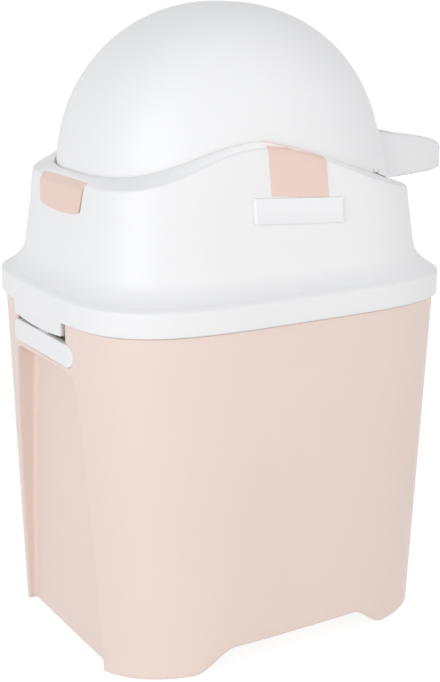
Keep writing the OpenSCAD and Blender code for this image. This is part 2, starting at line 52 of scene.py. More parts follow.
back = Vector((-math.sin(AZIMUTH) * math.cos(ELEVATION),
               -math.cos(AZIMUTH) * math.cos(ELEVATION),
               math.sin(ELEVATION)))
side = (-back).cross(Vector((0, 0, 1))).normalized()
over = side.cross(-back)
side, over = (math.cos(ROLL) * side + math.sin(ROLL) * over,
              math.cos(ROLL) * over - math.sin(ROLL) * side)
camera_data = bpy.data.cameras.new("camera")
camera_data.sensor_width = SENSOR_MM
camera_data.lens = LENS_MM
camera_data.clip_end = CAMERA_REACH
camera = bpy.data.objects.new("camera", camera_data)
camera_turn = Matrix((side, over, back)).transposed().to_4x4()
camera.matrix_world = Matrix.Translation(TARGET + back * DISTANCE) @ camera_turn
bpy.context.collection.objects.link(camera)
bpy.context.scene.camera = camera
bpy.context.scene.view_settings.view_transform = "Standard"


class Shader:
    """A node tree with one method that makes any node."""

    def __init__(self, tree):
        self.tree = tree
        tree.nodes.clear()

    def make(self, kind, settings=None, **inputs):
        """A node of this type: its settings are set first, then its sockets, as values or links.

        A socket is given by its name, or by an underscore and its number.
        """
        made = self.tree.nodes.new(kind)
        for name, value in (settings or {}).items():
            setattr(made, name, value)
        for name, value in inputs.items():
            numbered = name[0] == "_" and name[1:].isdigit()
            self.feed(made.inputs[int(name[1:]) if numbered else name.replace("_", " ")], value)
        return made

    def feed(self, socket, value):
        """Links the value to the socket, or sets a plain value there."""
        if isinstance(value, Field):
            value = value.socket
        if isinstance(value, bpy.types.NodeSocket):
            self.tree.links.new(value, socket)
        else:
            socket.default_value = value

    def field(self, kind, output, settings=None, **inputs):
        """One output of a new node, wrapped for sums."""
        return Field(self, self.make(kind, settings, **inputs).outputs[output])


class Field:
    """A socket that carries a number, so that shader sums are written as sums."""

    def __init__(self, shader, socket):
        self.shader = shader
        self.socket = socket

    def maths(self, operation, first, second):
        """The result of one Math node."""
        return self.shader.field("ShaderNodeMath", 0, {"operation": operation}, _0=first, _1=second)

    def __add__(self, other):
        return self.maths("ADD", self, other)

    __radd__ = __add__

    def __mul__(self, other):
        return self.maths("MULTIPLY", self, other)

    __rmul__ = __mul__


WORLD_LIGHT, ZENITH_LIGHT = 0.83, 0.43
WORLD_TINT = (0.965, 0.975, 1.0, 1)
WHITE = (1, 1, 1, 1)


def greater(shader, first, second):
    """The greater of two numbers."""
    return shader.field("ShaderNodeMath", 0, {"operation": "MAXIMUM"}, _0=first, _1=second)


def seen_directly(shader):
    """1 for rays from the camera or off a gloss, 0 for all others."""
    path = shader.make("ShaderNodeLightPath")
    return greater(shader, path.outputs["Is Camera Ray"], path.outputs["Is Glossy Ray"])


def studio_world():
    """The world lights the scene, less from above than from the sides, and the camera sees white."""
    world = bpy.data.worlds.new("studio")
    bpy.context.scene.world = world
    world.use_nodes = True
    sky = Shader(world.node_tree)
    direction = sky.make("ShaderNodeTexCoord").outputs["Generated"]
    up = sky.make("ShaderNodeSeparateXYZ", Vector=direction).outputs["Z"]
    strength = greater(sky, up, 0.0) * (ZENITH_LIGHT - WORLD_LIGHT) + WORLD_LIGHT
    dim = sky.make("ShaderNodeBackground", Color=WORLD_TINT, Strength=strength)
    white = sky.make("ShaderNodeBackground", Color=WHITE, Strength=1.0)
    both = sky.make("ShaderNodeMixShader", _0=seen_directly(sky), _1=dim.outputs[0], _2=white.outputs[0])
    sky.make("ShaderNodeOutputWorld", Surface=both.outputs[0])


studio_world()

FLOOR_HALF = 6.0
FLOOR_COLOUR = (0.86, 0.86, 0.86, 1)
FLOOR_GLOW, FLOOR_WHITE = 1.25, 0.7


def floor_finish():
    """Pale floor: to the camera a part of it, FLOOR_WHITE, glows. The rest is matt and takes the shadow."""
    material = bpy.data.materials.new("floor")
    material.use_nodes = True
    made = Shader(material.node_tree)
    cloth = made.make("ShaderNodeBsdfDiffuse", Color=FLOOR_COLOUR)
    lit = made.make("ShaderNodeEmission", Color=WHITE, Strength=FLOOR_GLOW)
    both = made.make("ShaderNodeMixShader", _0=seen_directly(made) * FLOOR_WHITE, _1=cloth.outputs[0],
                     _2=lit.outputs[0])
    made.make("ShaderNodeOutputMaterial", Surface=both.outputs[0])
    return material


floor_mesh = bpy.data.meshes.new("floor")
floor_corners = [(-FLOOR_HALF, -FLOOR_HALF, 0), (FLOOR_HALF, -FLOOR_HALF, 0),
                 (FLOOR_HALF, FLOOR_HALF, 0), (-FLOOR_HALF, FLOOR_HALF, 0)]
floor_mesh.from_pydata(floor_corners, [], [(0, 1, 2, 3)])
floor_mesh.materials.append(floor_finish())
floor = bpy.data.objects.new("floor", floor_mesh)
bpy.context.collection.objects.link(floor)

LAMP_AIM = Vector((0, 0, 0.28))


def lamp(name, where, size, watts, colour):
    """A square soft lamp that faces the middle of the bin."""
    data = bpy.data.lights.new(name, "AREA")
    data.size = size
    data.energy = watts
    data.color = colour
    made = bpy.data.objects.new(name, data)
    made.location = where
    made.rotation_euler = (LAMP_AIM - Vector(where)).to_track_quat("-Z", "Y").to_euler()
    bpy.context.collection.objects.link(made)


lamp("key", where=(-2.6, -1.4, 0.95), size=2.6, watts=39, colour=(1.0, 1.0, 1.0))
lamp("fill", where=(0.8, -2.4, 1.0), size=1.8, watts=12, colour=(1.0, 0.98, 0.95))

# ------------------------------------------------------------------ tub
# The tub is one thin injection moulding in pale pink polypropylene: a tapered
# shell with a hand recess in each short side, arches between its feet and a
# raised floor panel. It stands on its lower edge.

WALL = 2.6
TUB_H = 298.0
# half length, half width and exponent of the plan at the foot, and how much they grow up to PLAN_H
FOOT_PLAN, PLAN_GROWTH, PLAN_H = (160.4, 126.7, 3.5), (5.4, 6.3, 0.45), 285.0
# the step under the rim, the floor panel and the round foot in its middle
REBATE = 0.8
FLOOR_UNDER, FLOOR_TOP, FLOOR_FILLET = 19.5, 22.0, 3.0
FOOT_R = 22.0
# the recess in each short side: its flat back, its outline, and its rounded edges
RECESS_X = 145.0
RECESS_TOP = 244.0
RECESS_HEIGHTS = (0, 23, 35, 69, 96, 145, 194, 225, 244)
RECESS_HALF_WIDTHS = (74, 73, 71.6, 70.2, 69, 65, 61, 57, 54.5)
RECESS_CORNER = 12.0
RECESS_FILLET = 3.0
RECESS_EDGE = 2.5
# the arches in the long sides, which fade out at ARCH_BLEND above them
LONG_SIDE_Y = 100.0
ARCH_FLAT, ARCH_END, ARCH_H = 58.0, 95.0, 18.5
ARCH_BLEND = 60.0
# degrees between faces above which an edge is drawn sharp
SMOOTH_ABOVE = 38


def superellipse(t, a, b, n):
    """The plan curve |x/a|^n + |y/b|^n = 1 at the angles t."""
    c, s = np.cos(t), np.sin(t)
    return a * np.sign(c) * np.abs(c) ** (2 / n), b * np.sign(s) * np.abs(s) ** (2 / n)


def length_along(x, y):
    """Length along a curve from its first point to each of its points."""
    return np.concatenate([[0], np.cumsum(np.hypot(np.diff(x), np.diff(y)))])


def arc(start, stop, count):
    """Cosines and sines of evenly spaced angles in degrees."""
    a = np.radians(np.linspace(start, stop, count))
    return np.cos(a), np.sin(a)


def tub_plan(z):
    """Half length, half width and exponent of the tub's plan, which grow evenly with height."""
    k = np.asarray(z, float) / PLAN_H
    return tuple(foot + growth * k for foot, growth in zip(FOOT_PLAN, PLAN_GROWTH))


def recess_half_width(z):
    """The recess narrows upwards and turns in at its top corners by a quarter circle."""
    w = np.interp(z, RECESS_HEIGHTS, RECESS_HALF_WIDTHS)
    up = np.clip((z - (RECESS_TOP - RECESS_CORNER)) / RECESS_CORNER, 0, 1)
    return w - RECESS_CORNER * (1 - np.sqrt(1 - up * up))


def tub_ring(z, inset, deep, blend=0.0):
    """One closed loop round the tub at height z.

    A quarter runs along the recess's back, round its fillet, out along its side, over the outer
    edge and along the superellipse at equal steps of length; the others mirror it. deep is 1 in
    the recess and 0 on the plain wall. Below height blend the loop rises over the arches.
    """
    a, b, n = tub_plan(z)
    a, b = a - inset, b - inset
    w = recess_half_width(z - inset) + inset
    flat = RECESS_X - inset
    c, s = arc(0, 90, 6)
    y = np.concatenate([np.linspace(0, w - RECESS_FILLET - 1, 12), [w - RECESS_FILLET - 0.3],
                        w - RECESS_FILLET + RECESS_FILLET * s])
    x = np.concatenate([np.full(13, flat), flat + RECESS_FILLET * (1 - c)])
    corner_y = w + RECESS_EDGE
    corner_x = a * (1 - (corner_y / b) ** n) ** (1 / n)
    c, s = arc(0, 90, 8)
    out = np.linspace(flat + RECESS_FILLET + 0.6, corner_x - RECESS_EDGE - 0.6, 4)
    x = np.concatenate([x, out, corner_x - RECESS_EDGE + RECESS_EDGE * s])
    y = np.concatenate([y, np.full(4, w), w + RECESS_EDGE * (1 - c)])
    plain = a * (1 - (y / b) ** n) ** (1 / n)
    x = deep * x + (1 - deep) * plain
    t = np.linspace(np.arcsin((corner_y / b) ** (n / 2)), np.pi / 2, 600)
    wall_x, wall_y = superellipse(t, a, b, n)
    run = length_along(wall_x, wall_y)
    even = np.linspace(0, run[-1], 76)[1:]
    x = np.concatenate([x, np.interp(even, run, wall_x)])
    y = np.concatenate([y, np.interp(even, run, wall_y)])
    x[-1] = 0
    x, y = (np.concatenate([x, -x[-2::-1], -x[1:], x[-2:0:-1]]),
            np.concatenate([y, y[-2::-1], -y[1:], -y[-2:0:-1]]))
    rise = np.clip((ARCH_END - np.abs(x)) / (ARCH_END - ARCH_FLAT), 0, 1)
    lift = ARCH_H * rise * rise * (3 - 2 * rise) * (np.abs(y) > LONG_SIDE_Y)
    high = z + (lift * (1 - z / blend) if z < blend else 0 * x)
    return np.stack([x, y, high], 1)


def ledge_rows(inset):
    """Heights and depths up the recess's top: the fillet at its back, the ledge and the outer edge."""
    span = tub_plan(RECESS_TOP)[0] - RECESS_X
    top = RECESS_TOP + inset
    c, s = arc(15, 90, 6)
    rows = [(top - RECESS_FILLET * (1 - v), 1 - RECESS_FILLET * (1 - u) / span) for u, v in zip(c, s)]
    rows.append((top, 0.5))
    c, s = arc(0, 90, 7)
    return rows + [(top + RECESS_EDGE * (1 - u), RECESS_EDGE * (1 - v) / span) for u, v in zip(c, s)]


def disc_ring(like, radius, z):
    """A circle with as many points as the loop like, in the same order."""
    t = np.linspace(0, 2 * np.pi, len(like), endpoint=False)
    return np.stack([radius * np.cos(t), radius * np.sin(t), np.full(len(like), float(z))], 1)


def tub_rings():
    """All the tub's loops, from the middle of its underside round its outside to its floor."""
    low = [tub_ring(z, WALL + 0.6, 1, FLOOR_UNDER) for z in (FLOOR_UNDER - 0.01, 12, 5, 1, 0)]
    rings = [disc_ring(low[0], r, z) for r, z in (
        (10, 0), (FOOT_R - 1.2, 0), (FOOT_R - 0.3, 0.4), (FOOT_R, 1.2), (FOOT_R, FLOOR_UNDER),
        (60, FLOOR_UNDER), (110, FLOOR_UNDER))]
    rings += low
    rings += [tub_ring(z, inset, 1, ARCH_BLEND) for z, inset in (
        (0, 1.3), (0.35, 0.4), (1.3, 0), (5, 0), (12, 0), (20, 0))]
    rings += [tub_ring(z, 0, 1, ARCH_BLEND) for z in np.arange(30, 200, 10)]
    rings += [tub_ring(z, 0, 1) for z in (200, 212, 222, 228, 232, 235, 237.5, 239.5)]
    rings += [tub_ring(z, 0, deep) for z, deep in ledge_rows(0)]
    rings += [tub_ring(z, inset, 0) for z, inset in (
        (250, 0), (258, 0), (268, 0), (276, 0), (282.2, 0), (282.9, 0.1), (283.4, 0.5), (283.8, REBATE),
        (290, REBATE), (TUB_H - 1.1, REBATE), (TUB_H - 0.4, 1.0), (TUB_H, 1.5), (TUB_H, 2.7),
        (TUB_H - 0.4, 3.2), (TUB_H - 1.1, WALL + REBATE), (290, WALL + REBATE), (285, WALL + REBATE),
        (283, WALL), (270, WALL), (258, WALL), (252, WALL))]
    rings += [tub_ring(z, WALL, deep) for z, deep in ledge_rows(WALL)[::-1]]
    rings += [tub_ring(z, WALL, 1) for z in (240, 236, 230, 220, 205, 180, 150, 120, 90, 60, 40, 30, 25)]
    c, s = arc(10, 90, 5)
    rings += [tub_ring(FLOOR_TOP + 3.1 - FLOOR_FILLET * v, WALL + FLOOR_FILLET * (1 - u), 1)
              for u, v in zip(c, s)]
    rings += [disc_ring(low[0], r, FLOOR_TOP) for r in (100, 55, 12)]
    return rings


def grid_faces(rows, cols, closed):
    """Quads between the rows of a grid whose columns wrap round. closed joins the last row to the first."""
    i = np.arange(rows if closed else rows - 1)[:, None]
    j = np.arange(cols)[None, :]
    k, m = (i + 1) % rows, (j + 1) % cols
    return np.stack([i * cols + j, i * cols + m, k * cols + m, k * cols + j], -1).reshape(-1, 4)


def shade(mesh, smooth_above):
    """Smooth shading but for edges sharper than the angle."""
    mesh.shade_smooth()
    mesh.set_sharp_from_angle(angle=math.radians(smooth_above))


def new_piece(name, points, faces, smooth_above=SMOOTH_ABOVE):
    """A mesh object from points in millimetres."""
    mesh = bpy.data.meshes.new(name)
    mesh.from_pydata((np.asarray(points) * MM).tolist(), [], [list(map(int, f)) for f in faces])
    mesh.validate()
    shade(mesh, smooth_above)
    made = bpy.data.objects.new(name, mesh)
    bpy.context.collection.objects.link(made)
    return made


def loft(name, rings, closed=False, smooth_above=SMOOTH_ABOVE):
    """A skin through closed loops with equal counts; open ends are shut by a fan to their middle."""
    rings = np.asarray(rings)
    rows, cols = rings.shape[:2]
    points = rings.reshape(-1, 3)
    faces = [list(f) for f in grid_faces(rows, cols, closed)]
    if not closed:
        points = np.vstack([points, rings[0].mean(0), rings[-1].mean(0)])
        j = np.arange(cols)
        first, last = len(points) - 2, (rows - 1) * cols
        faces += [[first, b, a] for a, b in zip(j, np.roll(j, -1))]
        faces += [[first + 1, last + a, last + b] for a, b in zip(j, np.roll(j, -1))]
    return new_piece(name, points, faces, smooth_above)


def carve(piece, cutters):
    """Cuts each closed cutter out of the piece and removes the cutter."""
    for cutter in cutters:
        step = piece.modifiers.new("cut", "BOOLEAN")
        step.operation = "DIFFERENCE"
        step.solver = "EXACT"
        step.object = cutter
    seen = piece.evaluated_get(bpy.context.evaluated_depsgraph_get())
    mesh = bpy.data.meshes.new_from_object(seen)
    piece.modifiers.clear()
    piece.data = mesh
    shade(mesh, SMOOTH_ABOVE)
    for cutter in cutters:
        bpy.data.objects.remove(cutter)


def outline_loft(name, outline, axis, start, stop):
    """A closed outline of two-number points carried straight along an axis, with flat ends."""
    outline = np.asarray(outline, float)
    return loft(name, [np.insert(outline, axis, along, axis=1) for along in (start, stop)], smooth_above=30)


def turned(name, profile, centre, axis, count=48, closed=False):
    """A profile of (along, radius) points turned about a line along an axis through centre."""
    a = np.linspace(0, 2 * np.pi, count, endpoint=False)
    rings = []
    first, second = [(1, 2), (2, 0), (0, 1)][axis]
    for along, radius in profile:
        ring = np.zeros((count, 3))
        ring[:, axis] = along
        ring[:, first] = radius * np.cos(a)
        ring[:, second] = radius * np.sin(a)
        rings.append(ring + centre)
    return loft(name, rings, closed)


def stadium(half_length, radius, count=24):
    """A flat outline with round ends, anticlockwise."""
    c, s = arc(-90, 90, count)
    right = np.stack([half_length - radius + radius * c, radius * s], 1)
    return np.vstack([right, -right])


def bevel(piece, width, segments=3, angle=40):
    """Rounds the piece's sharp edges by this many millimetres."""
    step = piece.modifiers.new("edges", "BEVEL")
    step.width = width * MM
    step.segments = segments
    step.limit_method = "ANGLE"
    step.angle_limit = math.radians(angle)
    step.harden_normals = False
    return piece


def fasten(piece, body, slot_name, material, *replaced):
    """Gives the piece its material and its body, and hides the nodes that it replaces. slot_name is not
    used.
    """
    piece.data.materials.clear()
    piece.data.materials.append(material)
    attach(piece, body)
    if replaced:
        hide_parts(*replaced)
    return piece


# each noise's scale, detail and roughness
CLOUD, DUST, WAVE = (9.0, 2.0, 0.5), (1500.0, 2.0, 0.6), (38.0, 1.0, 0.4)
CLOUD_DARK, CLOUD_LIGHT = 0.975, 1.015
GRAIN_DEPTH = 0.00025
PLASTIC_IOR, PLASTIC_SPECULAR, COAT_ROUGHNESS = 1.49, 0.45, 0.12


def blend(shader, factor, first, second):
    """A colour between two, by a factor from 0 to 1."""
    mix = shader.make("ShaderNodeMix", {"data_type": "RGBA"}, Factor=factor, _6=first, _7=second)
    return mix.outputs[2]


def plastic(name, colour, roughness, grain, coat=0.0):
    """Moulded plastic: an even colour with a faint cloudiness, and a fine spark-eroded grain that
    shows in the gloss. colour is linear; the cloud varies it by about one part in fifty."""
    material = bpy.data.materials.new(name)
    material.use_nodes = True
    made = Shader(material.node_tree)
    place = made.make("ShaderNodeTexCoord").outputs["Object"]
    cloud, dust, wave = (
        made.field("ShaderNodeTexNoise", "Fac", Vector=place, Scale=scale, Detail=detail, Roughness=rough)
        for scale, detail, rough in (CLOUD, DUST, WAVE))
    darker = tuple(v * CLOUD_DARK for v in colour) + (1,)
    lighter = tuple(min(1, v * CLOUD_LIGHT) for v in colour) + (1,)
    bump = made.make("ShaderNodeBump", Strength=grain, Distance=GRAIN_DEPTH, Height=dust * 0.5 + wave * 0.5)
    shell = made.make("ShaderNodeBsdfPrincipled", Base_Color=blend(made, cloud, darker, lighter),
                      Roughness=dust * 0.10 + (roughness - 0.05), IOR=PLASTIC_IOR,
                      Specular_IOR_Level=PLASTIC_SPECULAR, Coat_Weight=coat, Coat_Roughness=COAT_ROUGHNESS,
                      Normal=bump.outputs[0])
    made.make("ShaderNodeOutputMaterial", Surface=shell.outputs[0])
    return material


# the release grip, the notch for the lid's tab, and the box behind the wall that holds them
GRIP_Z = 258.25
GRIP_HALF_W, GRIP_HALF_H = 56.0, 9.25
GRIP_GAP = 0.35
SLOT_HALF_W, SLOT_Z = 46.0, 267.2
POCKET_X = -153.5
CUT_START_X = -175.0
BOX_HALF_W, BOX_LOW, BOX_HIGH = 58.5, 246.4, 297.6
BOX_FRONT_X, BOX_BACK_X = -163.0, -151.1
STEM_Y, STEM_HOLE_R = 30.0, 3.3


def rectangle(half_width, low, high):
    """The outline of a plate in the short side, anticlockwise from its lower left corner."""
    return [(-half_width, low), (half_width, low), (half_width, high), (-half_width, high)]


def latch_cutters():
    """The pocket that the release grip sits in and the notch for the lid's tab, as solids to cut away."""
    pocket = stadium(GRIP_HALF_W + GRIP_GAP, GRIP_HALF_H + GRIP_GAP) + [0, GRIP_Z]
    notch = rectangle(SLOT_HALF_W, SLOT_Z, TUB_H + 2)
    return [outline_loft(name, outline, 0, CUT_START_X, POCKET_X)
            for name, outline in (("pocket", pocket), ("notch", notch))]


tub = loft("tub_shell", tub_rings())
carve(tub, latch_cutters())
pink = plastic("pale_pink_polypropylene", (0.855, 0.710, 0.640), 0.40, grain=0.16)
fasten(tub, "bin", "tub_plastic", pink, "tub")

latch_box = outline_loft("latch_box", rectangle(BOX_HALF_W, BOX_LOW, BOX_HIGH), 0, BOX_FRONT_X, BOX_BACK_X)
hole_profile = [(POCKET_X - 1.5, STEM_HOLE_R), (POCKET_X + 3.5, STEM_HOLE_R)]
stem_holes = [turned("stem_hole", hole_profile, (0, y, GRIP_Z), 0) for y in (-STEM_Y, STEM_Y)]
carve(latch_box, latch_cutters() + stem_holes)
fasten(latch_box, "bin", "tub_plastic", pink)

# the hinge at the handle end: two pairs of knuckles on the rim
HINGE_X, HINGE_Z, HINGE_R = 172.0, 278.0, 5.5
HINGE_Y = 46.0
HINGE_SIDES = (("right", HINGE_Y), ("left", -HINGE_Y))
KNUCKLE_ROOT_X, KNUCKLE_RISE = 164.5, 4.2
KNUCKLE_STEP, KNUCKLE_HALF_W = 13.4, 4.8

c, s = arc(-90, 90, 16)
knuckle_nose = np.stack([HINGE_X + HINGE_R * c, HINGE_Z + HINGE_R * s], 1)
knuckle_web = [(HINGE_X - 1, HINGE_Z + KNUCKLE_RISE), (KNUCKLE_ROOT_X, HINGE_Z + KNUCKLE_RISE),
               (KNUCKLE_ROOT_X, HINGE_Z - HINGE_R)]
for side_name, middle in HINGE_SIDES:
    for end_name, end in (("inner", -1), ("outer", 1)):
        centre = middle + end * KNUCKLE_STEP
        leaf = outline_loft("tub_knuckle_%s_%s" % (side_name, end_name),
                            np.vstack([knuckle_nose, knuckle_web])[::-1], 1,
                            centre - KNUCKLE_HALF_W, centre + KNUCKLE_HALF_W)
        fasten(bevel(leaf, 0.5), "bin", "tub_plastic", pink)

# ------------------------------------------------------------------ release grip
# The release grip is a white moulded band that lies flush in its pocket under
# the lid's tab. Two stems guide it through the pocket's back, springs push it
# out, and push-on rings hold the stems.

GRIP_PROUD, GRIP_BOW = 0.3, 3.4
BOW_BACK, BOW_RUN = 3.9, 2.3
# the grip's rounded edge as depths behind its face and insets from its outline
GRIP_EDGE = ((4.6, 0.6), (3.9, 0.0), (1.6, 0.0), (0.75, 0.12), (0.3, 0.45), (0.05, 0.95), (0.0, 1.6),
             (0.0, 3.6), (-0.05, 6.4))
STEM_R, STEM_START_X, STEM_END_X = 3.0, -163.0, -146.5
SPRING_BACK_X, SPRING_FRONT_X = -153.6, -161.0
CLIP_X, CLIP_HALF_T, CLIP_R = -150.0, 0.5, 5.4
GROOVE_HALF_W, GROOVE_R = 0.65, 2.4
CATCH_BACK_X, CATCH_FRONT_X, CATCH_NOSE_X = -160.6, -162.6, -163.9
CATCH_LOW, CATCH_HIGH, CATCH_HALF_W = 262.0, 278.6, 9.0


def tub_face_x(y, z):
    """How far out the tub's short side stands at this place across and height."""
    a, b, n = tub_plan(z)
    return a * (1 - (np.abs(y) / b) ** n) ** (1 / n)


def grip_rings():
    """Loops of the grip's outline, carried from its flat back, round its edge and over its bowed face."""
    rings = []
    for depth, inset in GRIP_EDGE:
        flat = stadium(GRIP_HALF_W - inset, GRIP_HALF_H - inset, 28)
        y, z = flat[:, 0], flat[:, 1] + GRIP_Z
        bow = GRIP_BOW * (1 - (y / GRIP_HALF_W) ** 2) * min(1, (BOW_BACK - min(depth, BOW_BACK)) / BOW_RUN)
        rings.append(np.stack([-tub_face_x(y, GRIP_Z) - GRIP_PROUD + depth - bow, y, z], 1))
    return rings


grip = loft("grip_band", grip_rings())
white = plastic("white_moulding", (0.885, 0.885, 0.887), 0.42, grain=0.10)
fasten(grip, "latch", "white_plastic", white, "release_grip")

stem_profile = [(STEM_START_X, STEM_R), (CLIP_X - GROOVE_HALF_W - 0.05, STEM_R),
                (CLIP_X - GROOVE_HALF_W, GROOVE_R), (CLIP_X + GROOVE_HALF_W, GROOVE_R),
                (CLIP_X + GROOVE_HALF_W + 0.05, STEM_R), (STEM_END_X - 0.4, STEM_R),
                (STEM_END_X, STEM_R - 0.4)]
for number, y in enumerate((-STEM_Y, STEM_Y)):
    stem = turned("grip_stem_%d" % number, stem_profile, (0, y, GRIP_Z), 0)
    fasten(stem, "latch", "white_plastic", white)

catch_outline = [(CATCH_FRONT_X, CATCH_LOW), (CATCH_BACK_X, CATCH_LOW), (CATCH_BACK_X, CATCH_HIGH),
                 (CATCH_FRONT_X - 0.2, CATCH_HIGH), (CATCH_NOSE_X, CATCH_HIGH - 1),
                 (CATCH_NOSE_X, CATCH_HIGH - 2), (CATCH_FRONT_X, CATCH_HIGH - 2)]
catch = outline_loft("grip_catch", catch_outline, 1, -CATCH_HALF_W, CATCH_HALF_W)
fasten(bevel(catch, 0.25, 2), "latch", "white_plastic", white)


def steel(name, tone, roughness):
    """Plated steel: fine marks show in its gloss and relief, and its tone varies a little in patches."""
    material = bpy.data.materials.new(name)
    material.use_nodes = True
    made = Shader(material.node_tree)
    place = made.make("ShaderNodeTexCoord").outputs["Object"]
    marks = made.field("ShaderNodeTexNoise", "Fac", Vector=place, Scale=1200.0, Detail=3.0)
    patch = made.field("ShaderNodeTexNoise", "Fac", Vector=place, Scale=60.0, Detail=1.0)
    bump = made.make("ShaderNodeBump", Strength=0.15, Distance=0.0001, Height=marks)
    darker = tuple(v * 0.9 for v in tone) + (1,)
    shell = made.make("ShaderNodeBsdfPrincipled", Base_Color=blend(made, patch, darker, tone + (1,)),
                      Metallic=1.0, Roughness=marks * 0.15 + roughness, Normal=bump.outputs[0])
    made.make("ShaderNodeOutputMaterial", Surface=shell.outputs[0])
    return material


def coil_spring(name, start, end, radius, wire, turns):
    """A round wire wound evenly about the line from start to end, its ends closed and flat.

    The wire's middle turns about the line at this radius while it moves along, and it stands still
    along the line over the first and last part. A small circle is carried along it.
    """
    start, end = np.asarray(start, float), np.asarray(end, float)
    along = (end - start) / np.linalg.norm(end - start)
    length = np.linalg.norm(end - start) - 2 * wire
    across = np.cross(along, [0, 1, 0] if abs(along[1]) < 0.5 else [1, 0, 0])
    across /= np.linalg.norm(across)
    other = np.cross(along, across)
    s = np.linspace(0, 1, turns * 28 + 1)[:, None]
    pitch = np.clip((s - 0.08) / 0.84, 0, 1)
    a = 2 * np.pi * turns * s
    out = np.cos(a) * across + np.sin(a) * other
    middle = start + along * (wire + length * pitch) + radius * out
    b = np.linspace(0, 2 * np.pi, 10, endpoint=False)
    rings = middle[:, None, :] + wire * (np.cos(b)[None, :, None] * out[:, None, :]
                                         - np.sin(b)[None, :, None] * along)
    return loft(name, rings)


spring_steel = steel("spring_wire", (0.52, 0.52, 0.54), 0.28)
zinc = steel("zinc_plate", (0.60, 0.61, 0.64), 0.34)
clip_profile = [(CLIP_X - CLIP_HALF_T, 2.5), (CLIP_X - CLIP_HALF_T, CLIP_R - 0.3), (CLIP_X - 0.3, CLIP_R),
                (CLIP_X + 0.3, CLIP_R), (CLIP_X + CLIP_HALF_T, CLIP_R - 0.3), (CLIP_X + CLIP_HALF_T, 2.5)]
for number, y in enumerate((-STEM_Y, STEM_Y)):
    spring = coil_spring("grip_spring_%d" % number, (SPRING_BACK_X, y, GRIP_Z), (SPRING_FRONT_X, y, GRIP_Z),
                         radius=4.2, wire=0.5, turns=4)
    fasten(spring, "bin", "spring_steel", spring_steel, "grip_springs")
    ring = turned("grip_clip_%d" % number, clip_profile, (0, y, GRIP_Z), 0, closed=True)
    fasten(ring, "latch", "zinc_steel", zinc, "grip_clips")

# ------------------------------------------------------------------ bag carrier and bag ring
# The bag carrier is a white tray pressed onto the tub's rim, with a collar that
# the bag hangs over. The grey bag ring drops over the collar and holds the bag.

# half length, half width and exponent
RIM_PLAN = (163.6, 130.8, 3.95)
TRAY_PLAN = (149.0, 116.2, 3.8)
MOUTH_PLAN = (111.0, 95.0, 3.0)


def plan_loop(a, b, n, z, count=320):
    """A superellipse loop with its points at equal steps of length."""
    x, y = superellipse(np.linspace(0, 2 * np.pi, 2401), a, b, n)
    run = length_along(x, y)
    even = np.linspace(0, run[-1], count, endpoint=False)
    return np.stack([np.interp(even, run, x), np.interp(even, run, y), np.full(count, float(z))], 1)


def plan_loops(rows):
    """Loops from rows of a plan (half length, half width, exponent), its growth outwards and a height."""
    return [plan_loop(a + out, b + out, n, z) for (a, b, n), out, z in rows]


carrier = loft("carrier_tray", plan_loops([
    (RIM_PLAN, -0.2, 298.05), (RIM_PLAN, 0, 298.4), (RIM_PLAN, 0, 299.2), (RIM_PLAN, -0.5, 299.6),
    (TRAY_PLAN, -1, 299.6), (TRAY_PLAN, -2.1, 299.1), (TRAY_PLAN, -2.4, 298), (TRAY_PLAN, -2.4, 288.6),
    (TRAY_PLAN, -3.1, 287), (TRAY_PLAN, -4.8, 286.2), (MOUTH_PLAN, 5, 286.2), (MOUTH_PLAN, 3.2, 286.6),
    (MOUTH_PLAN, 2.5, 287.8), (MOUTH_PLAN, 2.5, 296), (MOUTH_PLAN, 2.2, 296.7), (MOUTH_PLAN, 1.4, 297),
    (MOUTH_PLAN, 0.4, 296.8), (MOUTH_PLAN, 0, 296.2), (MOUTH_PLAN, 0, 284.2), (MOUTH_PLAN, 0.3, 283.8),
    (TRAY_PLAN, -4, 283.8), (TRAY_PLAN, -0.8, 284.9), (TRAY_PLAN, 0, 287), (TRAY_PLAN, 0, 297.6),
    (TRAY_PLAN, 0.4, 298.02)]), closed=True)
carrier_plastic = plastic("carrier_white", (0.80, 0.80, 0.815), 0.46, grain=0.3)
fasten(carrier, "bin", "carrier_plastic", carrier_plastic, "bag_carrier")

bag_ring = loft("bag_ring_hoop", plan_loops([(MOUTH_PLAN, out, z) for out, z in (
    (10.7, 286.5), (11, 286.8), (11, 290.6), (10.4, 291.5), (9, 292.1), (7, 292.2), (4.4, 292.2),
    (3.5, 292), (3.1, 291.4), (3.1, 286.8), (3.4, 286.5))]), closed=True)
grey_plastic = plastic("grey_ring_plastic", (0.34, 0.36, 0.39), 0.45, grain=0.3)
fasten(bag_ring, "bag_ring", "ring_plastic", grey_plastic, "bag_ring")

# ------------------------------------------------------------------ housing
# The housing is a white satin moulding that hinges on the tub: a skirt over the
# tub's rim, a flare, tall walls and a wavy shoulder whose lip follows the drum.

# the skirt, then the flare as insets and heights, then the upper wall's foot and bend
SKIRT_A, SKIRT_B, PLAN_N = 168.8, 136.0, 3.95
SKIRT_Z = 284.2
FLARE = ((0.9, 303.7), (2.6, 305.1), (5.4, 306.8), (9.3, 310.2), (13.2, 314.4), (15.9, 318.8), (17.8, 325),
         (18.9, 332))
WALL_FOOT_INSET, WALL_FOOT_Z, FOOT_LEAN = 20.5, 345.0, 0.146
WALL_BEND_INSET, WALL_BEND_Z, BEND_LEAN = 22.4, 358.0, 0.092
# the shoulder's wave, its outer edge and the way over it to the lip
SHOULDER_LEFT_Z, SHOULDER_CREST_Z, SHOULDER_RIGHT_Z = 387.5, 415.5, 372.5
CREST_X, LEFT_X, RIGHT_X = -30.0, -143.0, 145.0
EDGE_INSET, EDGE_R, CROWN = 25.5, 3.0, 0.9
BRIDGE = (0.12, 0.3, 0.5, 0.7, 0.88)
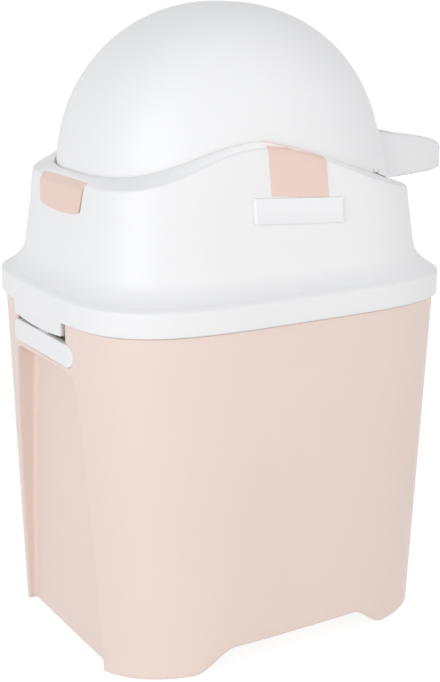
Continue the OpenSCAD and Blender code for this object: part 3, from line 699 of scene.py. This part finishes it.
# the drum's surface, and the lip that stands off it by a gap
AXLE_Z, DRUM_R, DRUM_W, DRUM_N = 388.0, 132.0, 105.0, 2.67
LIP_H, LIP_SLOPE, LIP_TURN, LIP_GAP = 4.5, 0.294, 14.0, 1.6
LIP_SHORT_LEFT, LIP_SHORT_RIGHT = 0.15, 1.0
# the latch tab on the skirt's lower edge
TAB_HALF_W, TAB_Z, TAB_SAG, TAB_CORNER, TAB_T = 45.2, 273.5, 2.3, 2.0, 4.6


def half_cosine(x, start, end):
    """0 up to start, 1 from end on, and half a cosine wave between them."""
    return (1 - np.cos(np.pi * np.clip((x - start) / (end - start), 0, 1))) / 2


def shoulder(x):
    """Height of the shoulder's edge: half a cosine up to the crest, and a longer one down behind it."""
    rise = (SHOULDER_CREST_Z - SHOULDER_LEFT_Z) * half_cosine(x, LEFT_X, CREST_X)
    fall = (SHOULDER_CREST_Z - SHOULDER_RIGHT_Z) * half_cosine(x, CREST_X, RIGHT_X)
    return np.where(x < CREST_X, SHOULDER_LEFT_Z + rise, SHOULDER_CREST_Z - fall)


def lip_height(x):
    """Height of the lip: over the shoulder's edge up to the crest, then straight down to the handle end."""
    d = np.maximum(x - CREST_X, 0)
    fall = np.where(d < LIP_TURN, d * d / (2 * LIP_TURN), d - LIP_TURN / 2)
    return np.where(x < CREST_X, shoulder(x), shoulder(CREST_X) - LIP_SLOPE * fall) + LIP_H


def wall_inset(z):
    """How far the upper wall stands in from the skirt: it leans in evenly, and less above its bend."""
    return np.where(z < WALL_BEND_Z, WALL_FOOT_INSET + (z - WALL_FOOT_Z) * FOOT_LEAN,
                    WALL_BEND_INSET + (z - WALL_BEND_Z) * BEND_LEAN)


def wall_point(t, inset, z):
    """A point of the plan at angle t, moved in by inset."""
    x, y = superellipse(t, 1, 1, PLAN_N)
    return np.stack([(SKIRT_A - inset) * x, (SKIRT_B - inset) * y, z + 0 * x], -1)


def edge_x(t):
    """Where the shoulder's edge stands along the bin at angle t."""
    return (SKIRT_A - EDGE_INSET) * superellipse(t, 1, 1, PLAN_N)[0]


def edge_point(t, more, rise):
    """A point near the shoulder's outer edge, moved in and up from the wall's top."""
    z = shoulder(edge_x(t))
    return wall_point(t, wall_inset(z) + more, z + rise)


def drum_half_width(r, grow):
    """Half the drum's width at distance r from its axle."""
    return (DRUM_W + grow) * np.clip(1 - (r / (DRUM_R + grow)) ** DRUM_N, 0, None) ** (1 / DRUM_N)


def lip_point(t, gap, rise):
    """A point of the lip, on the drum's surface grown by gap, at the lip's height."""
    x = superellipse(t, 1, 1, PLAN_N)[0]
    x = x * (DRUM_R + gap - np.where(x < 0, LIP_SHORT_LEFT, LIP_SHORT_RIGHT))
    z = lip_height(x)
    y = np.sign(np.sin(t)) * drum_half_width(np.hypot(x, z - AXLE_Z), gap)
    return np.stack([x, y, z + rise], -1)


def bridge_rows(start, end, steps):
    """Rows from the shoulder's edge over to the lip, straight but for a slight crown."""
    return [start * (1 - k) + end * k + np.array([0, 0, CROWN * math.sin(math.pi * k)]) for k in steps]


def wall_angles():
    """Angles at equal steps along the skirt, with close pairs where the latch tab starts and ends."""
    t = np.linspace(0, 2 * np.pi, 4801)
    run = length_along(*superellipse(t, SKIRT_A, SKIRT_B, PLAN_N))
    even = np.interp(np.linspace(0, run[-1], 420, endpoint=False), run, t)
    close = TAB_HALF_W - np.array([-0.03, 0.03, 0.25, 0.7, 1.3, 2.1])
    turn = np.arcsin((close / SKIRT_B) ** (PLAN_N / 2))
    extra = np.concatenate([np.pi - turn, np.pi + turn])
    keep = even[np.min(np.abs(even[:, None] - extra[None, :]), 1) > 0.002]
    return np.sort(np.concatenate([keep, extra]))


def smooth_path(points, count):
    """A Catmull-Rom curve through the points, at even steps of its parameter."""
    p = np.asarray(points, float)
    p = np.vstack([2 * p[0] - p[1], p, 2 * p[-1] - p[-2]])
    u = np.linspace(0, len(p) - 3 - 1e-9, count)
    i = u.astype(int)
    u = (u - i)[:, None]
    a, b, c, d = p[i], p[i + 1], p[i + 2], p[i + 3]
    square, cube = 2 * a - 5 * b + 4 * c - d, 3 * b - a - 3 * c + d
    return 0.5 * (2 * b + (c - a) * u + square * u ** 2 + cube * u ** 3)


def tab_drop(t):
    """How far the skirt's lower edge hangs down for the tab, and how thick it is there.

    The tab's lower edge sags by a parabola and turns up at its ends by quarter circles.
    """
    x, y = wall_point(t, 0, 0.0)[:, :2].T
    off = np.clip((np.abs(y) - (TAB_HALF_W - TAB_CORNER)) / TAB_CORNER, 0, 1)
    inside = (np.abs(y) <= TAB_HALF_W) & (x < 0)
    sag = TAB_SAG * (1 - (y / TAB_HALF_W) ** 2)
    drop = SKIRT_Z - TAB_Z + sag - TAB_CORNER * (1 - np.sqrt(1 - off ** 2))
    return np.where(inside, drop, 0), np.where(inside, TAB_T, WALL)


def housing_rings():
    """The housing's loops: up the outside, over the shoulder to the lip, and down the inside."""
    t = wall_angles()
    drop, thick = tab_drop(t)
    bend = (WALL_BEND_INSET, WALL_BEND_Z)
    rings = [wall_point(t, inset, SKIRT_Z + up - drop)
             for inset, up in ((1.2, 0), (0.55, 0.12), (0.15, 0.5), (0, 1.1))]
    rings += [wall_point(t, 0, z) for z in (289, 294, 299, 302.2)]
    rings += [wall_point(t, inset, z) for inset, z in ((0.12, 302.9), (0.42, 303.4))]
    rings += [wall_point(t, inset, z)
              for inset, z in smooth_path(FLARE + ((WALL_FOOT_INSET, WALL_FOOT_Z), bend), 46)]
    top = shoulder(edge_x(t))
    for k in (0.2, 0.45, 0.7, 0.88):
        z = WALL_BEND_Z + (top - EDGE_R - WALL_BEND_Z) * k
        rings.append(wall_point(t, wall_inset(z), z))
    c, s = arc(0, 76, 8)
    rings += [edge_point(t, EDGE_R * (1 - u), EDGE_R * v - EDGE_R) for u, v in zip(c, s)]
    rings += bridge_rows(rings[-1], lip_point(t, LIP_GAP + 0.8, -0.25), BRIDGE)
    rings += [lip_point(t, LIP_GAP + more, rise) for more, rise in (
        (0.8, -0.25), (0.35, -0.35), (0.08, -0.65), (0, -1.1), (0, -3), (0, -5.2), (0.3, -5.5))]
    rings.append(edge_point(t, WALL, -7))
    rings += [wall_point(t, inset + WALL, z) for inset, z in (
        bend, (WALL_FOOT_INSET, WALL_FOOT_Z), (18.9, 331), (15.9, 317.3), (9.3, 307.6))]
    rings += [wall_point(t, 4, 301.8), wall_point(t, WALL, 300.4), wall_point(t, WALL, 292)]
    rings += [wall_point(t, thick, 286.5), wall_point(t, thick, SKIRT_Z - drop + 0.4)]
    rings.append(wall_point(t, thick - 0.4, SKIRT_Z - drop))
    return rings


OPENING_X = (-160.0, -139.2)
OPENING_ROWS = ((35.2, 365.4), (38.9, 384), (38.9, 400))

housing = loft("housing_shell", housing_rings(), closed=True)
opening = [[(OPENING_X[0], -h, z), (OPENING_X[1], -h, z), (OPENING_X[1], h, z), (OPENING_X[0], h, z)]
           for h, z in OPENING_ROWS]
carve(housing, [loft("button_opening", opening, smooth_above=30)])
fasten(housing, "lid", "white_plastic", white, "housing")

# the hinge brackets, the lug on the tab, the saddles round the axle's bores and the spring's shelf
BRACKET_HALF_W = 7.9
LUG_HALF_W, LUG_LOW, LUG_HIGH = 8.0, 273.9, 276.3
SADDLE_START_X, SADDLE_END_X = -21.5, 28.5
SADDLE_OUTLINE = [(106.35, 364), (110.2, 364), (108.6, 392), (107.7, 401), (106.35, 401)]
BORE_R, BORE_START_Y, BORE_END_Y = 9.5, 100.0, 113.0
SHELF_OUTLINE = [(-144.5, -7), (-134, -7), (-134, 7), (-144.5, 7)]
SHELF_LOW, SHELF_HIGH = 351.8, 354.5

c, s = arc(0, -180, 20)
bracket_eye = np.stack([HINGE_X + HINGE_R * c, HINGE_Z + HINGE_R * s], 1)
bracket = np.vstack([bracket_eye, [(167.2, 279), (167.2, 298), (169.4, 298), (177.5, 281)]])
for side_name, middle in HINGE_SIDES:
    made = outline_loft("lid_bracket_" + side_name, bracket, 1,
                        middle - BRACKET_HALF_W, middle + BRACKET_HALF_W)
    fasten(bevel(made, 0.5), "lid", "white_plastic", white)

lug_outline = [(-164.6, -LUG_HALF_W), (-163.0, -LUG_HALF_W), (-163.0, LUG_HALF_W), (-164.6, LUG_HALF_W)]
tab_lug = outline_loft("tab_lug", lug_outline, 2, LUG_LOW, LUG_HIGH)
fasten(bevel(tab_lug, 0.25, 2), "lid", "white_plastic", white)

for number, turn in enumerate((1, -1)):
    block = outline_loft("axle_saddle_%d" % number, np.array(SADDLE_OUTLINE) * [turn, 1], 0,
                         SADDLE_START_X, SADDLE_END_X)
    bore = turned("bore", [(BORE_START_Y * turn, BORE_R), (BORE_END_Y * turn, BORE_R)], (0, 0, AXLE_Z), 1)
    carve(block, [bore])
    fasten(block, "lid", "white_plastic", white)

shelf = outline_loft("spring_shelf", SHELF_OUTLINE, 2, SHELF_LOW, SHELF_HIGH)
fasten(bevel(shelf, 0.4, 2), "lid", "white_plastic", white)

# ------------------------------------------------------------------ pivot covers and label bars
# Each pink pivot cover is a thin moulded panel let into the wall over the axle's
# bore. A plain white bar is pegged on under it.

BAR_LEFT, BAR_RIGHT, BAR_T = -38.3, 42.9, 3.4
BAR_MID_Z, BAR_HALF_H, BAR_LEAN = 366.95, 9.75, 0.0605
BAR_EDGE = ((0, 0.7), (0.2, 0.3), (0.7, 0))
BAR_INSET = 23.5
COVER_PROUD, COVER_DEPTH = 0.55, 0.9
COVER_GAP = 0.5
# each side's place at the bar and its shift up the wall, then both sides' places at the edge and lip
COVER_LEFT, COVER_RIGHT = (-21.4, -2.0), (30.7, -0.9)
COVER_EDGE, COVER_LIP = (-23.7, 29.7), (-29.0, 29.4)


def wall_angle(x):
    """The plan's angle, on the near side, whose upper wall stands at this place along."""
    k = x / (SKIRT_A - EDGE_INSET)
    return -np.arccos(np.clip(k, -1, 1) * np.abs(k) ** (PLAN_N / 2 - 1))


def cover_surface(u, proud):
    """The cover's face: up the wall, round the shoulder's edge and over to the lip, proud of the housing.

    u runs from 0 at the left side to 1 at the right. Each side is given by its place at the bar and
    by how far it moves along while it goes up the wall. The left side flares out over the top.
    """
    def across(left, right):
        return wall_angle(left + (right - left) * u)

    rows = []
    low = BAR_MID_Z + BAR_HALF_H + COVER_GAP - BAR_LEAN * (BAR_LEFT + (BAR_RIGHT - BAR_LEFT) * u)
    for k in (0, 0.25, 0.5, 0.75, 1.0):
        t = across(*(place + shift * k for place, shift in (COVER_LEFT, COVER_RIGHT)))
        z = low + (shoulder(edge_x(t)) - EDGE_R - low) * k
        rows.append(wall_point(t, wall_inset(z) - proud, z))
    t = across(*COVER_EDGE)
    r = EDGE_R + proud
    c, s = arc(12, 76, 7)
    rows += [edge_point(t, EDGE_R - r * a, r * b - EDGE_R) for a, b in zip(c, s)]
    lip = lip_point(across(*COVER_LIP), LIP_GAP + 0.5, proud - 0.25)
    return np.array(rows + bridge_rows(rows[-1], lip, BRIDGE + (1.0,)))


def slab(name, outer, inner):
    """A thin closed plate between two grids of the same size: its face, its back and a rim round them."""
    rows, cols = outer.shape[:2]
    i, j = np.arange(rows - 1)[:, None], np.arange(cols - 1)[None, :]
    corners = [i * cols + j, i * cols + j + 1, (i + 1) * cols + j + 1, (i + 1) * cols + j]
    face = np.stack(corners, -1).reshape(-1, 4)
    half = rows * cols
    rim = np.concatenate([np.arange(cols), np.arange(1, rows) * cols + cols - 1,
                          (rows - 1) * cols + np.arange(cols - 2, -1, -1),
                          np.arange(rows - 2, 0, -1) * cols])
    after = np.roll(rim, -1)
    edge = np.stack([rim, rim + half, after + half, after], -1)
    points = np.vstack([outer.reshape(-1, 3), inner.reshape(-1, 3)])
    return new_piece(name, points, np.vstack([face, face[:, ::-1] + half, edge]))


def pivot_cover(name, mirrored):
    """The cover as a thin plate, mirrored for the rear."""
    u = np.linspace(0, 1, 28)
    outer, inner = cover_surface(u, COVER_PROUD), cover_surface(u, COVER_PROUD - COVER_DEPTH)
    if mirrored:
        outer, inner = (g[:, ::-1] * [1, -1, 1] for g in (outer, inner))
    return bevel(slab(name, outer, inner), 0.35)


def label_bar(name, turn):
    """A bar with rounded edges, carried along the wall. It leans down towards the handle end."""
    stations = [(BAR_LEFT + step, shrink) for step, shrink in BAR_EDGE] + [(-20, 0), (0, 0), (20, 0)]
    stations += [(BAR_RIGHT - step, shrink) for step, shrink in BAR_EDGE[::-1]]
    rings = []
    for x, shrink in stations:
        z = BAR_MID_Z - BAR_LEAN * x + np.array([-1, 1]) * (BAR_HALF_H - shrink)
        y = SKIRT_B - wall_inset(z)
        y = y * (1 - (abs(x) / (SKIRT_A - BAR_INSET)) ** PLAN_N) ** (1 / PLAN_N)
        t = BAR_T - shrink
        section = [(y[0] + 0.1, z[0]), (y[0] + t - 0.7, z[0]), (y[0] + t - 0.2, z[0] + 0.2),
                   (y[0] + t, z[0] + 0.7), (y[1] + t, z[1] - 0.7), (y[1] + t - 0.2, z[1] - 0.2),
                   (y[1] + t - 0.7, z[1]), (y[1] + 0.1, z[1])]
        ring = np.array([(x, turn * u, v) for u, v in section])
        rings.append(ring if turn > 0 else ring[::-1])
    return loft(name, rings, smooth_above=30)


accent = plastic("accent_pink_plastic", (0.855, 0.645, 0.560), 0.34, grain=0.10)
bar_white = plastic("bar_white", (0.90, 0.90, 0.905), 0.30, grain=0.08)
for where, turn in (("front", -1), ("rear", 1)):
    cover = pivot_cover(where + "_cover_panel", turn > 0)
    fasten(cover, "lid", "pink_plastic", accent, where + "_pivot_cover")
    bar = label_bar(where + "_bar", turn)
    fasten(bar, "lid", "bar_plastic", bar_white, where + "_label_bar")

# ------------------------------------------------------------------ lock button
# The lock button is a pink moulded key that hooks over the latch end's shoulder.
# A spring on a shelf inside pushes it up.

BUTTON_HALF_W, BUTTON_T, BUTTON_PROUD = 38.5, 1.6, 1.5
BUTTON_LOW, BUTTON_SAG, BUTTON_CORNER = 362.2, 2.0, 1.6
BUTTON_TAPER, TAPER_TOP, TAPER_RUN = 0.115, 384.0, 21.0
BUTTON_EDGE_X, BUTTON_EDGE_Z, EDGE_OUT, EDGE_UP = -142.9, 382.4, 2.25, 2.35
BUTTON_TOP = ((-141.8, 386.6), (-139.75, 388.2))
BUTTON_BEND = 112.0
LOCK_STEM = [(-143.5, 370.2), (-137.6, 370.2), (-137.6, 374.8), (-133.9, 375), (-137.6, 381.2),
             (-143.5, 381.2)]
LOCK_STEM_HALF_W = 30.0
LOCK_SPRING_X, LOCK_SPRING_Z = -138.0, (354.6, 369.9)


def button_surface(y, grow):
    """The key's face from its lower edge up the wall, round and over its sloping top; grow moves it out.

    The lower edge rises by a parabola and at its corners by a twelfth power. The sides lean together
    downwards by a straight taper.
    """
    across = np.abs(y) / BUTTON_HALF_W
    low = BUTTON_LOW + BUTTON_SAG * across ** 2 + BUTTON_CORNER * across ** 12
    rows = []

    def row(x, z):
        narrow = y * (1 - BUTTON_TAPER * np.clip((TAPER_TOP - z) / TAPER_RUN, 0, 1))
        bend = (1 - (np.abs(narrow) / BUTTON_BEND) ** PLAN_N) ** (1 / PLAN_N)
        rows.append(np.stack([x * bend, narrow, z + 0 * y], -1))

    for k in (0, 0.15, 0.4, 0.7, 1.0):
        z = low + (BUTTON_EDGE_Z + 0.2 - low) * k
        row(-(SKIRT_A - wall_inset(z)) - BUTTON_PROUD - grow, z)
    c, s = arc(12, 62, 6)
    for u, v in zip(c, s):
        row(BUTTON_EDGE_X - (EDGE_OUT + grow) * u, BUTTON_EDGE_Z + (EDGE_UP + grow) * v)
    for x, z in BUTTON_TOP:
        row(x - grow * 0.5, z + grow * 0.9)
    return np.array(rows)


key_y = np.linspace(BUTTON_HALF_W, -BUTTON_HALF_W, 44)
lock_button = slab("lock_key", button_surface(key_y, 0), button_surface(key_y, -BUTTON_T))
fasten(bevel(lock_button, 0.45), "lock_button", "pink_plastic", accent, "lock_button")
stem = outline_loft("lock_stem", LOCK_STEM, 1, -LOCK_STEM_HALF_W, LOCK_STEM_HALF_W)
fasten(bevel(stem, 0.4, 2), "lock_button", "pink_plastic", accent)
lock_spring = coil_spring("lock_spring_coil", *((LOCK_SPRING_X, 0, z) for z in LOCK_SPRING_Z),
                          radius=3.0, wire=0.5, turns=6)
fasten(lock_spring, "lid", "spring_steel", spring_steel, "lock_spring")

# ------------------------------------------------------------------ drum seal
# The seal is a cream strip of soft elastomer. It is held under the lip all round
# the opening and wipes the drum as it turns.

# the strip's section as gaps to the drum and rises over the lip
SEAL_SECTION = ((1.5, -5.1), (1.5, -2.0), (1.2, -1.5), (0.7, -1.4), (0.45, -1.8), (0.4, -2.6), (0.7, -3.4))

seal_t = wall_angles()
seal_rings = [lip_point(seal_t, gap, rise) for gap, rise in SEAL_SECTION]
drum_seal = loft("drum_seal_strip", seal_rings, closed=True)
seal_rubber = plastic("cream_elastomer", (0.80, 0.74, 0.60), 0.6, grain=0.2)
fasten(drum_seal, "lid", "seal_rubber", seal_rubber, "drum_seal")

# ------------------------------------------------------------------ drum shell
# The dome and its handle are one satin white moulding: a body of revolution
# about the axle, cut flat at the mouth, that runs out into a scooped tongue.

DRUM_WALL = 2.6
DECK_Z = 378.0
# the handle: its plan, its underside, its flare towards the dome and the fall of its rim
HANDLE_ROOT, HANDLE_MID, HANDLE_TIP, HANDLE_W = 60.0, 115.0, 230.0, 47.0
HANDLE_LOW = 373.8
HANDLE_FLARE, FLARE_X, FLARE_RUN = 22.0, 112.0, 16.0
RIM_X, RIM_Z, RIM_FALL, RIM_CURVE = 130.0, 412.6, 0.075, 0.0011
RIM_R, LOW_R = 5.5, 2.0
# the wall's lean under the rim, and the fillet between handle and dome, small above and wide below
LEAN, LEAN_RUN, LEAN_LOW, LEAN_FADE = 1.6, 5.0, 380.0, 14.0
FILLET_UP, FILLET_DOWN, FILLET_Z, FILLET_FADE = 8.0, 22.0, 401.0, 3.0
# the scoop: its floor, its undercut and the wall that it leaves to the dome
SCOOP_INSET, SCOOP_Z, SCOOP_FALL, SCOOP_R = 9.0, 400.5, 0.115, 4.0
UNDERCUT, UNDERCUT_RUN = 3.5, 3.0
DOME_WALL, SCOOP_FILLET = 7.0, 3.0
# the cut that clears the housing's lip, where it ends, and the pocket for the handle's cover
LIP_END, LIP_CLEAR, LIP_DIP, DIP_RUN = 128.0, 0.4, 2.1, 16.0
BELOW_END, BELOW_X, BELOW_RUN, BELOW_OUT = 147.0, 117.0, 3.0, 4.2
POCKET_INSET, POCKET_H, POCKET_START = 3.0, 4.0, 149.4
# the grid on which the surface is found
NET_LOW, NET_HIGH, NET_STEP = (-136, -110, 368), (236, 110, 524), 2.0


def smooth_least(a, b, k):
    """The lesser of two distances, with their meeting rounded over about k."""
    h = np.clip(0.5 + 0.5 * (b - a) / k, 0, 1)
    return b * (1 - h) + a * h - k * h * (1 - h)


def fade_in(depth, start, run):
    """0 down to the start, then nearer and nearer to 1 by an exponential of the depth."""
    return 1 - np.exp(-np.maximum(depth - start, 0) / run)


def dome_distance(x, y, z):
    """Roughly the distance to the drum's surface: its implicit value over the length of its slope."""
    r = np.hypot(x, z - AXLE_Z) / DRUM_R
    w = np.abs(y) / DRUM_W
    f = (r ** DRUM_N + w ** DRUM_N + 1e-9) ** (1 / DRUM_N)
    steep = np.sqrt((r ** (DRUM_N - 1) / DRUM_R) ** 2 + (w ** (DRUM_N - 1) / DRUM_W) ** 2)
    return (f - 1) / np.maximum(f ** (1 - DRUM_N) * steep, 1e-3)


def handle_half(x):
    """Half width of the handle, which flares out where it leaves the dome."""
    return HANDLE_W + HANDLE_FLARE * np.exp(-np.maximum(x - FLARE_X, 0) / FLARE_RUN)


def handle_top(x):
    """Height of the handle's rim: nearly level at the dome, falling faster towards the tip."""
    return RIM_Z - RIM_FALL * (x - RIM_X) - RIM_CURVE * (x - RIM_X) ** 2


def rounded(side, level, edge):
    """Distance to a form between a wall and a level, with the edge where they meet rounded over."""
    u, v = side + edge, level + edge
    return np.hypot(np.maximum(u, 0), np.maximum(v, 0)) + np.minimum(np.maximum(u, v), 0) - edge


def tongue_side(x, y, inset):
    """Distance to the wall of the handle's plan: half an ellipse with flared sides, moved in by inset."""
    far = np.maximum(x - HANDLE_MID, 0)
    a, b = HANDLE_TIP - HANDLE_MID - inset, handle_half(x) - inset
    k = np.hypot(far / a, y / b) + 1e-9
    distance = (k - 1) * k / np.hypot(far / a ** 2, y / b ** 2 + 1e-12)
    return np.maximum(distance, HANDLE_ROOT - x)


def handle_solid(x, y, z):
    """Distance to the handle before it is scooped: its wall leans in under its rounded rim."""
    depth = handle_top(x) - z
    lean = LEAN * fade_in(depth, 5, LEAN_RUN) * np.clip((z - LEAN_LOW) / LEAN_FADE, 0, 1)
    wall = tongue_side(x, y, 0.0) + lean
    return np.maximum(rounded(wall, -depth, RIM_R), rounded(wall, HANDLE_LOW - z, LOW_R))


def scoop_hollow(x, y, z, dome):
    """Distance to the hollow in the handle, which widens under the rim and keeps off the dome."""
    wall = tongue_side(x, y, SCOOP_INSET) - UNDERCUT * fade_in(handle_top(x) - z, 2, UNDERCUT_RUN)
    bottom = SCOOP_Z - SCOOP_FALL * (x - RIM_X)
    return np.maximum(rounded(wall, bottom - z, SCOOP_R), DOME_WALL - dome)


def drum_field(p):
    """Distance to the outside of dome and handle, with a wide fillet between them and the scoop taken out.

    The underside is cut flat at the deck inside the dome and clear of the housing's lip outside it,
    and it has a shallow pocket for the handle's cover.
    """
    x, y, z = p[..., 0], p[..., 1], p[..., 2]
    dome = dome_distance(x, y, z)
    fillet = FILLET_UP + FILLET_DOWN / (1 + np.exp((z - FILLET_Z) / FILLET_FADE))
    whole = smooth_least(dome, handle_solid(x, y, z), fillet)
    whole = -smooth_least(-whole, scoop_hollow(x, y, z, dome), SCOOP_FILLET)
    dip = LIP_DIP * np.clip((x - LIP_END) / DIP_RUN, 0, 1)
    over_lip = lip_height(np.minimum(x, LIP_END)) + LIP_CLEAR - dip
    out = dome - 0.2 + BELOW_OUT * np.clip((x - BELOW_X) / BELOW_RUN, 0, 1)
    outside = np.minimum(np.minimum(over_lip - z, BELOW_END - x), out)
    below = np.maximum(outside, np.minimum(DECK_Z - z, -out))
    pocket = np.maximum(tongue_side(x, y, POCKET_INSET), z - HANDLE_LOW - POCKET_H)
    return np.maximum(np.maximum(whole, below), -np.maximum(pocket, POCKET_START - x))


def surface_net(field, low, high, step):
    """Points and quads of the surface where the field is 0, with its edges kept sharp.

    The surface crosses an edge of a grid cell where the field changes sign. Each crossed edge has a
    tangent plane there, from the field's slope. Each cell gets one point: the one nearest, in the
    least-squares sense, to the planes of its crossed edges, held lightly to the middle of the
    crossings. Each crossed edge then gets a quad between the points of its four cells.
    """
    axes = [np.arange(a, b + step, step) for a, b in zip(low, high)]
    grid = np.stack(np.meshgrid(*axes, indexing="ij"), -1)
    value = field(grid)
    shape = np.array(value.shape) - 1
    cells = int(shape.prod())
    matrix, vector = np.zeros((cells, 3, 3)), np.zeros((cells, 3))
    middle, count = np.zeros((cells, 3)), np.zeros(cells)
    edges = []
    for axis in range(3):
        others = [o for o in range(3) if o != axis]
        start, stop = [slice(None)] * 3, [slice(None)] * 3
        start[axis], stop[axis] = slice(0, -1), slice(1, None)
        first, last = value[tuple(start)], value[tuple(stop)]
        at = np.argwhere((first < 0) != (last < 0))
        a, b = first[tuple(at.T)], last[tuple(at.T)]
        base = grid[tuple(start)][tuple(at.T)]
        along = np.eye(3)[axis] * step
        lo, hi = np.zeros(len(a)), np.ones(len(a))
        for _ in range(7):
            part = np.clip(lo + (hi - lo) * np.clip(a / (a - b), 0.05, 0.95), 0, 1)
            there = field(base + part[:, None] * along)
            same = (there < 0) == (a < 0)
            lo, a = np.where(same, part, lo), np.where(same, there, a)
            hi, b = np.where(same, hi, part), np.where(same, b, there)
        point = base + ((lo + hi) / 2)[:, None] * along
        slope = np.stack([field(point + d) - field(point - d) for d in np.eye(3) * 0.02], -1)
        slope /= np.linalg.norm(slope, axis=1)[:, None] + 1e-9
        corner = []
        for du, dv in ((-1, -1), (0, -1), (0, 0), (-1, 0)):
            c = at.copy()
            c[:, others[0]] += du
            c[:, others[1]] += dv
            number = np.ravel_multi_index(np.clip(c, 0, shape - 1).T, shape)
            corner.append(number)
            np.add.at(matrix, number, slope[:, :, None] * slope[:, None, :])
            np.add.at(vector, number, slope * (slope * point).sum(1)[:, None])
            np.add.at(middle, number, point)
            np.add.at(count, number, 1)
        flip = (first[tuple(at.T)] < 0) != (axis == 1)
        quad = np.stack(corner, 1)
        edges.append(np.where(flip[:, None], quad, quad[:, ::-1]))
    used = np.flatnonzero(count)
    mean = middle[used] / count[used][:, None]
    hold = 0.02
    matrix, vector = matrix[used] + hold * np.eye(3), vector[used] + hold * mean
    points = np.linalg.solve(matrix, vector[..., None])[..., 0]
    points = mean + np.clip(points - mean, -0.9 * step, 0.9 * step)
    place = np.zeros(cells, int)
    place[used] = np.arange(len(used))
    return points, place[np.vstack(edges)]


shell_points, shell_faces = surface_net(drum_field, NET_LOW, NET_HIGH, NET_STEP)
corners = shell_points[shell_faces]
middle = corners.mean(1)
level = np.ptp(corners[:, :, 2], axis=1) < 0.05
mouth = level & (middle[:, 2] < DECK_Z + 0.3) & (dome_distance(*middle.T) < 0)
drum_shell = new_piece("dome_and_handle", shell_points, shell_faces[~mouth], smooth_above=50)
skin = drum_shell.modifiers.new("wall", "SOLIDIFY")
skin.thickness = DRUM_WALL * MM
skin.offset = -1
dome_white = plastic("dome_white", (0.885, 0.885, 0.889), 0.44, grain=0.04, coat=0.04)
fasten(drum_shell, "drum", "dome_plastic", dome_white, "drum_shell")

# ------------------------------------------------------------------ inner parts
# The cup and its cap, the piston, the pins, bushes and screws, and the plate that
# closes the handle's underside are plain turned or moulded pieces. They keep the
# shapes of their solids and get their plastics and zinc here.

for finish, node_names in (
        (dome_white, ("handle_cover",)),
        (carrier_plastic, ("cup_liner", "cup_cap")),
        (grey_plastic, ("piston", "piston_cap")),
        (seal_rubber, ("piston_seal",)),
        (bar_white, ("front_axle_pin", "rear_axle_pin", "front_bush", "rear_bush")),
        (zinc, ("hinge_pins", "drum_screws", "piston_weight"))):
    for node_name in node_names:
        nodes[node_name].data.materials.clear()
        nodes[node_name].data.materials.append(finish)
